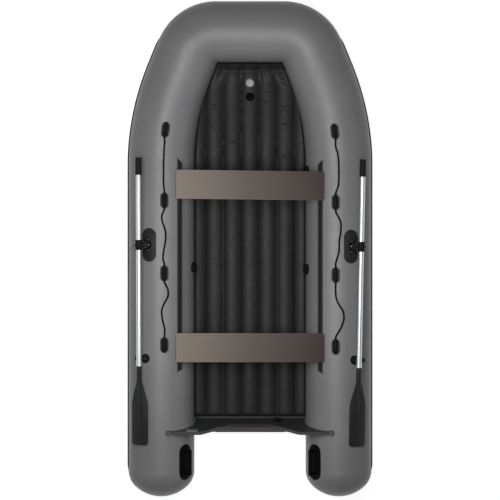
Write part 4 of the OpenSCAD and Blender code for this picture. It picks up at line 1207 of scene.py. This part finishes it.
@dataclass
class Lifelines:
    """Laid ropes that run loose along the tubes through the fairleads."""

    line: HullLine = LINE
    diameter: float = 0.012
    clear: float = 0.0003
    tunnel_lift: float = 0.0027
    tunnel_reach: float = 0.055
    strands: int = 3
    strand_h: float = 0.07
    lay_l: float = 0.034
    knot_steps: int = 24
    step: float = 0.003
    sides: int = 24
    # Distance past the bow seam and offset inboard of the crown
    port_route: Sequence[Pair] = (
        (0.215, 0.022), (0.161, 0.022), (0.140, 0.025), (0.115, 0.025), (0.080, 0.025), (0.045, 0.025),
        (0.0, 0.024), (-0.050, 0.024), (-0.110, 0.023), (-0.162, 0.026), (-0.188, 0.029),
        (-0.242, 0.029), (-0.296, 0.029), (-0.318, 0.021), (-0.340, 0.013), (-0.378, 0.016),
        (-0.412, 0.028), (-0.445, 0.036), (-0.490, 0.037), (-0.525, 0.032), (-0.555, 0.026),
        (-0.615, 0.020), (-0.638, 0.026), (-0.656, 0.029), (-0.710, 0.029), (-0.764, 0.029),
        (-0.784, 0.038), (-0.805, 0.048), (-0.830, 0.053), (-0.860, 0.050), (-0.898, 0.030),
        (-0.943, 0.013), (-0.996, 0.015), (-1.035, 0.024), (-1.075, 0.032), (-1.098, 0.030),
        (-1.116, 0.029), (-1.170, 0.029))
    starboard_route: Sequence[Pair] = (
        (0.215, 0.022), (0.161, 0.022), (0.140, 0.025), (0.106, 0.024), (0.074, 0.016), (0.040, 0.012),
        (0.0, 0.010), (-0.050, 0.009), (-0.105, 0.010), (-0.140, 0.013), (-0.168, 0.023),
        (-0.188, 0.029), (-0.242, 0.029), (-0.296, 0.029), (-0.318, 0.022), (-0.340, 0.010),
        (-0.376, -0.003), (-0.433, -0.002), (-0.497, 0.007), (-0.560, 0.009), (-0.605, 0.021),
        (-0.636, 0.029), (-0.656, 0.029), (-0.710, 0.029), (-0.764, 0.029), (-0.800, 0.030),
        (-0.850, 0.027), (-0.880, 0.018), (-0.905, 0.005), (-0.939, -0.016), (-0.979, -0.023),
        (-1.010, -0.018), (-1.045, -0.006), (-1.078, 0.013), (-1.100, 0.025), (-1.116, 0.029),
        (-1.170, 0.029))

    def path(self, route: Sequence[Pair], shift: float) -> np.ndarray:
        """Gives a smooth line along the tube's skin through a route's points.

        Args:
            route: Points of the route.
            shift: Shift of the route along the tube.

        Returns:
            Evenly spaced points of the rope's middle.
        """
        knots = []
        for s, across in route:
            held = any(abs(s - place) < self.tunnel_reach for place, _ in FAIRLEADS)
            proud = self.diameter / 2 + self.clear + (self.tunnel_lift if held else 0)
            angle = 90 + math.degrees(math.asin(across / self.line.radius(s + shift)))
            knots.append(self.line.skin(s + shift, angle, proud))
        knots = np.array(knots)
        ends = np.concatenate([[2 * knots[0] - knots[1]], knots, [2 * knots[-1] - knots[-2]]])
        t = np.linspace(0, 1, self.knot_steps, endpoint=False)
        ease = np.stack([2 * t**3 - 3 * t**2 + 1, t**3 - 2 * t**2 + t, 3 * t**2 - 2 * t**3, t**3 - t**2], -1)
        spans = []
        for a, b, c, d in zip(ends, ends[1:], ends[2:], ends[3:]):
            before, reach, after = (np.linalg.norm(q - p) for p, q in ((a, b), (b, c), (c, d)))
            leave, arrive = (c - a) / (before + reach) * reach, (d - b) / (reach + after) * reach
            spans.append(ease @ np.stack([b, leave, c, arrive]))
        dense = np.concatenate([*spans, knots[-1:]])
        run = np.concatenate([[0], np.cumsum(np.linalg.norm(np.diff(dense, axis=0), axis=1))])
        even = np.linspace(0, run[-1], int(run[-1] / self.step))
        return np.stack([np.interp(even, run, dense[:, k]) for k in range(3)], -1)

    def rope_rows(self, path: np.ndarray) -> Rows:
        """Gives the twisted strands of a rope.

        Args:
            path: Points of the rope's middle.

        Returns:
            The rope's sections.
        """
        along = unit(np.gradient(path, axis=0))
        across = unit(np.cross(along, [0, 0, 1.0]))
        twist = 2 * math.pi * np.arange(len(path)) * self.step / self.lay_l
        turn = np.arange(self.sides) * 2 * math.pi / self.sides
        lobes = 1 - self.strand_h + self.strand_h * np.cos(self.strands * turn[None] - twist[:, None])
        return piped(path, across, np.cross(across, along), self.diameter / 2 * lobes)

    def build(self) -> None:
        """Builds both ropes."""
        for side, route in zip(Side, (self.port_route, self.starboard_route)):
            path = self.path(route, SHIFTS[side])
            rows = self.rope_rows(path)
            if side is Side.STARBOARD:
                path, rows = path * MIRROR, mirrored(rows)
            rope = add_piece(f"rope_{side.label}", lofted(rows), ROPE)
            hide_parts(f"lifeline_{side.label}")


@dataclass
class TransomTrim:
    """Small trim on the transom: soft caps on the tips of its wings and a bare plate on its front."""

    foot: Point = (0.0, -1.1115, 0.150)
    rake: float = math.radians(10.5)
    board_t: float = 0.020
    tip_x: float = 0.537
    top_z: float = 0.437
    cap_half: Pair = (0.0155, 0.0150)
    cap_round: float = 0.7
    cap_sides: int = 40
    cap_sink: float = 0.020
    cap_proud: float = 0.003
    lip: float = 0.0025
    # Shares of the half widths, with heights over the cap's top
    cap_profile: Sequence[Pair] = ((1.0, -0.005), (0.95, -0.002), (0.82, -0.0004), (0.5, 0.0), (0.05, 0.0))
    # The dark lip round each cap is partly a real dark ring and partly painted contact shadow
    lip_profile: Sequence[Pair] = ((1.0, -0.010), (0.97, -0.0085), (0.775, -0.008))
    plate_x: Pair = (-0.412, -0.334)
    plate_z: Pair = (0.370, 0.430)
    plate_t: float = 0.0012
    plate_sink: float = 0.0002
    # Shares of the plate's thickness: height and inset of its edge and its face
    plate_profile: Sequence[Pair] = ((0.6, 0.0), (1.0, 0.5))
    plate_corner: float = 0.006
    corner_steps: int = 7

    def on_board(self, x: float, proud: float, z: float) -> Point:
        """Gives a point at a height, over the board's front face by so much along its normal."""
        front = self.foot[1] - (z - self.foot[2]) * math.tan(self.rake)
        return (x, front + proud * math.cos(self.rake), z + proud * math.sin(self.rake))

    def cap_rows(self, profile: Sequence[Pair], wide: float) -> Rows:
        """Gives a rounded cap over the starboard wing's tip.

        Args:
            profile: Outline of the cap from its rim up.
            wide: Gain of the half widths.

        Returns:
            The rows of the cap from the sunk foot up.
        """
        (half_x, half_y), rows = self.cap_half, []
        turn = np.linspace(0, 2 * math.pi, self.cap_sides, endpoint=False)
        round_x, round_y = (np.sign(w) * np.abs(w) ** self.cap_round for w in (np.cos(turn), np.sin(turn)))
        heights = [(1.0, -self.cap_sink)] + [(share, self.cap_proud + rise) for share, rise in profile]
        for share, rise in heights:
            _, y, z = self.on_board(0, -self.board_t / 2, self.top_z + rise)
            x = self.tip_x + self.lip - half_x + half_x * share * wide * round_x
            rows.append(np.stack([x, y + half_y * share * wide * round_y, np.full_like(turn, z)], -1))
        return np.array(rows)

    def plate_rows(self) -> Rows:
        """Gives the bare plate.

        Returns:
            Its outline at its back, its edge and its face.
        """
        (x_low, x_high), (z_low, z_high), corner, rows = self.plate_x, self.plate_z, self.plate_corner, []
        middles = ((x_high - corner, z_high - corner), (x_low + corner, z_high - corner),
                   (x_low + corner, z_low + corner), (x_high - corner, z_low + corner))
        heights = [(self.plate_t * high, self.plate_t * inset) for high, inset in self.plate_profile]
        for proud, inset in [(-self.plate_sink, 0.0)] + heights:
            ring = []
            for quarter, (x, z) in enumerate(middles):
                for a in np.radians(np.linspace(quarter * 90, quarter * 90 + 90, self.corner_steps)):
                    reach = corner - inset
                    ring.append(self.on_board(x + reach * math.cos(a), proud, z + reach * math.sin(a)))
            rows.append(ring[::-1])
        return np.array(rows)

    def build(self) -> None:
        """Builds the wing caps with their dark lips, which are partly a real dark ring and partly painted
        contact shadow, and the plate.
        """
        wide = 1 + self.lip / self.cap_half[0]
        for name, profile, gain, finish in (("wing_cap", self.cap_profile, 1.0, RIM_PLASTIC),
                                            ("wing_cap_lip", self.lip_profile, wide, BLACK_RUBBER)):
            add_pair(name, mirrored(self.cap_rows(profile, gain)), finish, crease=50)
        add_piece("transom_plate", lofted(self.plate_rows()), PALE_PLATE, crease=40)


@dataclass
class FairleadRims:
    """Paler rims on the fairleads' plates, open at both ends where the rope leaves."""

    line: HullLine = LINE
    plate_t: float = 0.005
    half_width: float = 0.025
    half_length: float = 0.0495
    band_w: float = 0.0036
    band_t: float = 0.0004
    sink: float = 0.0004
    mouth: float = 0.009
    bend_steps: int = 14

    def half_rim(self) -> Rows:
        """Gives the inboard half of a rim on a flat plate at z = 0.

        Returns:
            Its sections from aft forward.
        """
        run, rows = self.half_length - self.half_width, []
        open_a = math.acos(self.mouth / (self.half_width - self.band_w / 2))
        bends = [(a, -run) for a in np.linspace(-open_a, 0, self.bend_steps)]
        bends += [(a, run) for a in np.linspace(0, open_a, self.bend_steps)]
        section = reversed(band_profile(self.band_t, self.sink))
        section = [(self.half_width - self.band_w * share, z) for share, z in section]
        for a, y in bends:
            rows.append([(reach * math.cos(a), y + reach * math.sin(a), z) for reach, z in section])
        return np.array(rows)

    def placed(self, rows: Rows, s: float, across: float) -> Rows:
        """Lays rows on the plate of a port fairlead.

        Args:
            rows: Rows on a flat plate.
            s: Distance of the fairlead past the bow seam.
            across: Its offset inboard of the crown.

        Returns:
            The rows on the tube.
        """
        line, t = self.line, min(1.0, max(0.0, s / self.line.path_l))
        inboard = math.asin(across / line.radius(s))
        pitch = math.atan(line.bow_rise * 6 * t * (1 - t) / line.path_l)
        turns = ((-line.yaw(s), "Z"), (pitch, "X"), (inboard, "Y"))
        yawed, pitched, leaned = (Matrix.Rotation(angle, 3, axis) for angle, axis in turns)
        raised = rows + np.array([0, 0, self.plate_t])
        return line.skin(s, 90 + math.degrees(inboard)) + raised @ np.array(yawed @ pitched @ leaned).T

    def build(self) -> None:
        """Builds the rims of each side as one piece."""
        half = self.half_rim()
        for side, shift in SHIFTS.items():
            bands = []
            for s, across in FAIRLEADS:
                for rows in (half, mirrored(half)):
                    shape = self.placed(rows, s + shift, across)
                    bands.append(lofted(shape if side is Side.PORT else mirrored(shape)))
            add_piece(f"fairlead_rims_{side.label}", joined(bands), RIM_PLASTIC, crease=50)


@dataclass
class PadScrews:
    """Small domed screw heads on the ribs and the boss of each oarlock pad."""

    swing_x: float = 0.666
    # Distances inboard and forward of the boss's middle
    places: Sequence[Pair] = ((0.0125, 0.034), (0.0172, 0.0), (0.0125, -0.034))
    head_r: float = 0.0027
    head_h: float = 0.0012
    # Shares of the head's radius and height
    profile: Sequence[Pair] = ((1.0, -1.0), (1.0, 0.25), (0.85, 0.7), (0.5, 1.0), (0.08, 1.0))
    sides: int = 20
    drop: float = 0.1

    def head_rows(self, seat: Vector, facing: Vector) -> Rows:
        """Gives a domed head that sits on a surface.

        Args:
            seat: Point of the surface.
            facing: Direction that the surface faces.

        Returns:
            The rows, from the sunk foot up.
        """
        across = facing.cross(Vector((0, 1, 0))).normalized()
        along = facing.cross(across)
        turn = np.linspace(0, 2 * math.pi, self.sides, endpoint=False)
        ring = np.cos(turn)[:, None] * np.array(across) + np.sin(turn)[:, None] * np.array(along)
        return np.array([np.array(seat) + self.head_r * share * ring + self.head_h * rise * np.array(facing)
                         for share, rise in self.profile])

    def build(self) -> None:
        """Builds the heads of each pad as one piece."""
        for side in Side:
            pad, heads = f"oarlock_pad_{side.label}", []
            low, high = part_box(pad)
            for inboard, ahead in self.places:
                x, y = side.value * (self.swing_x - inboard), (low[1] + high[1]) / 2 + ahead
                above = Vector((x, y, high[2] + self.drop))
                hit, seat, facing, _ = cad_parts[pad].ray_cast(above, Vector((0, 0, -1)))
                if hit:
                    heads.append(lofted(self.head_rows(seat, facing)))
            add_piece(f"pad_screws_{side.label}", joined(heads), STEEL, crease=50)


@dataclass
class CollarWire:
    """Thin wire loop that hangs from the nub of the port oar's collar."""

    corners: Sequence[Point] = ((0.004, 0.0, 0.0), (-0.036, -0.034, -0.012), (0.008, -0.039, -0.012))
    nub_l: float = 0.0035
    wire_r: float = 0.001
    cut: float = 0.25
    rounds: int = 4
    sides: int = 10

    def rows(self) -> Rows:
        """Gives the wire.

        Returns:
            Its sections round the loop.
        """
        low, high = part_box("oar_collar_port")
        nub = np.array([low[0] + self.nub_l, (low[1] + high[1]) / 2, (low[2] + high[2]) / 2])
        loop = np.array(self.corners)
        flat = unit(np.cross(loop[1] - loop[0], loop[2] - loop[0]))
        for _ in range(self.rounds):
            step = np.roll(loop, -1, axis=0) - loop
            loop = np.stack([loop + self.cut * step, loop + (1 - self.cut) * step], 1).reshape(-1, 3)
        along = np.roll(loop, -1, axis=0) - np.roll(loop, 1, axis=0)
        size = np.full((len(loop), self.sides), self.wire_r)
        return piped(nub + loop, unit(np.cross(along, flat)), np.broadcast_to(flat, loop.shape), size)

    def build(self) -> None:
        """Builds the loop."""
        add_piece("collar_wire", lofted(self.rows(), ring=True), BLACK_PLASTIC, body="port_oar")


def both(*names: str) -> tuple[str, ...]:
    """Gives the names of nodes that come in pairs."""
    return tuple(f"{name}_{side.label}" for name in names for side in Side)


@dataclass
class CadPieces:
    """Pieces whose solids keep their shape: each gets its finish, and all but the thin ones get softened
    edges.
    """

    finishes: dict[Finish, Sequence[str]] = field(default_factory=lambda: {
        TUBE_FABRIC: ("chamber_baffles", *both("transom_holder")),
        BLACK_RUBBER: both("oar_grip"),
        HANDLE_RUBBER: ("stern_handle_pads", "stern_handle_grips"),
        VENT_PLASTIC: ("relief_valve",),
        BLACK_PLASTIC: ("drain_body", "drain_cap", "tube_valve_bodies", "port_valve_cap",
                        "starboard_valve_cap", "bow_valve_cap",
                        *both("fairleads", "oarlock_swivel", "oar_collar", "oar_rest")),
        PAD_PLASTIC: both("oarlock_pad"),
        BLADE_PLASTIC: both("oar_blade"),
        TRACK_PLASTIC: both("seat_track"),
        SLIDER_PLASTIC: ("front_seat_sliders", "aft_seat_sliders"),
        GREY_PLASTIC: ("floor_valve_body", "floor_valve_cap", "port_valve_plunger",
                       "starboard_valve_plunger", "bow_valve_plunger", "floor_valve_plunger"),
        SEAT_PLY: ("front_seat_board", "aft_seat_board"),
        CLAMP_PLY: ("inner_clamp_pad", "outer_clamp_pad"),
        TRANSOM_PLY: ("transom_board",),
        ALUMINIUM: both("oar_shaft"),
        STEEL: ("clamp_pad_bolts",),
    })
    edge: float = 0.0012
    wide_edges: dict[str, float] = field(default_factory=lambda: {
        "front_seat_board": 0.004, "aft_seat_board": 0.004, "transom_board": 0.003,
        "stern_handle_grips": 0.004, "fairleads_port": 0.002, "fairleads_starboard": 0.002})
    thin: Sequence[str] = ("chamber_baffles", *both("oar_shaft"))
    weld: float = 1e-5
    sharp: float = math.radians(35)
    segments: int = 3

    def soften(self, node: bpy.types.Object, width: float) -> None:
        """Rounds a solid's sharp edges with modifiers, which leave its mesh as it is.

        Args:
            node: Object of the solid.
            width: Width of the rounded edges.
        """
        node.modifiers.new("weld", "WELD").merge_threshold = self.weld
        bevel = node.modifiers.new("edges", "BEVEL")
        bevel.width = width
        bevel.segments = self.segments
        bevel.limit_method = "ANGLE"
        bevel.angle_limit = self.sharp
        bevel.harden_normals = True

    def build(self) -> None:
        """Dresses the solids that stay on show."""
        for finish, names in self.finishes.items():
            for name in names:
                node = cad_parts[name]
                node.data.materials.clear()
                node.data.materials.append(finish.material())
                if name not in self.thin:
                    self.soften(node, self.wide_edges.get(name, self.edge))
                log.info("solid %s: %s", name, finish.name)


@dataclass
class Studio:
    """Camera straight above the boat, a pale floor and soft light from above."""

    camera_place: Point = (0, 0.00275, 11.215)
    lens: float = 121.0
    sensor: float = 36.0
    key_place: Point = (-0.9, -0.05, 5.0)
    key_size: float = 1.2
    key_power: float = 62.0
    top_place: Point = (-0.2, 0.15, 3.2)
    top_size: float = 2.6
    top_power: float = 84.0
    ambient: float = 0.03
    ceiling: float = 0.12
    # Heights of a ray between which the white walls pass into the ceiling
    ceiling_edge: Pair = (0.35, 0.75)
    floor_reach: float = 12.0
    floor_white: float = 0.4
    floor_roughness: float = 0.9
    floor_glow: float = 0.92

    def aim_camera(self) -> None:
        """Adds the camera of the photograph."""
        data = bpy.data.cameras.new("photo_camera")
        data.lens, data.sensor_width = self.lens, self.sensor
        bpy.context.scene.camera = put("photo_camera", data, self.camera_place)

    def lay_floor(self) -> None:
        """Lays a pale floor that shows white and keeps the boat's soft shadow."""
        r = self.floor_reach
        mesh = bpy.data.meshes.new("studio_floor")
        mesh.from_pydata([(-r, -r, 0), (r, -r, 0), (r, r, 0), (-r, r, 0)], [], [(0, 1, 2, 3)])
        material = bpy.data.materials.new("studio_floor")
        kit = NodeKit(material)
        kit.dress({"Base Color": (*(self.floor_white,) * 3, 1), "Roughness": self.floor_roughness,
                   "Emission Color": (*WHITE, 1),
                   "Emission Strength": kit.combine("MULTIPLY", kit.seen(), self.floor_glow)})
        mesh.materials.append(material)
        put("studio_floor", mesh)

    def hang(self, name: str, place: Point, size: float, power: float) -> None:
        """Hangs a square soft box that faces the middle of the boat.

        Args:
            name: Name of the lamp.
            place: Where it hangs.
            size: Length of its sides.
            power: Power in watts.
        """
        data = bpy.data.lights.new(name, "AREA")
        data.shape, data.size, data.energy = "SQUARE", size, power
        back = Vector(place).normalized()
        across = Vector((0, 1, 0)).cross(back).normalized()
        facing = Matrix((across, back.cross(across), back)).transposed()
        put(name, data, place).rotation_euler = facing.to_euler()

    def light(self) -> None:
        """Hangs the soft boxes and fills the room with even light under a dim ceiling."""
        self.hang("key_box", self.key_place, self.key_size, self.key_power)
        self.hang("top_box", self.top_place, self.top_size, self.top_power)
        world = bpy.data.worlds.new("room")
        kit = NodeKit(world, "Background")
        walls = kit.span(kit.part(kit.place(Space.ROOM), "Z"), *self.ceiling_edge, 1.0, self.ceiling)
        kit.dress({"Color": (*WHITE, 1), "Strength": kit.span(kit.seen(), 0, 1, self.ambient, walls)})
        bpy.context.scene.world = world
        bpy.context.scene.view_settings.view_transform = "Standard"


def main() -> None:
    """Builds the studio and the boat, sub-assembly by sub-assembly."""
    logging.basicConfig(level=logging.INFO, format="%(message)s")
    studio = Studio()
    studio.aim_camera()
    for assembly in (Lifelines(), TubeSkins(), Strakes(), AirFloor(), TransomTrim(), FairleadRims(),
                     PadScrews(), CollarWire(), CadPieces()):
        assembly.build()
    studio.lay_floor()
    studio.light()


if __name__ == "__main__":
    main()
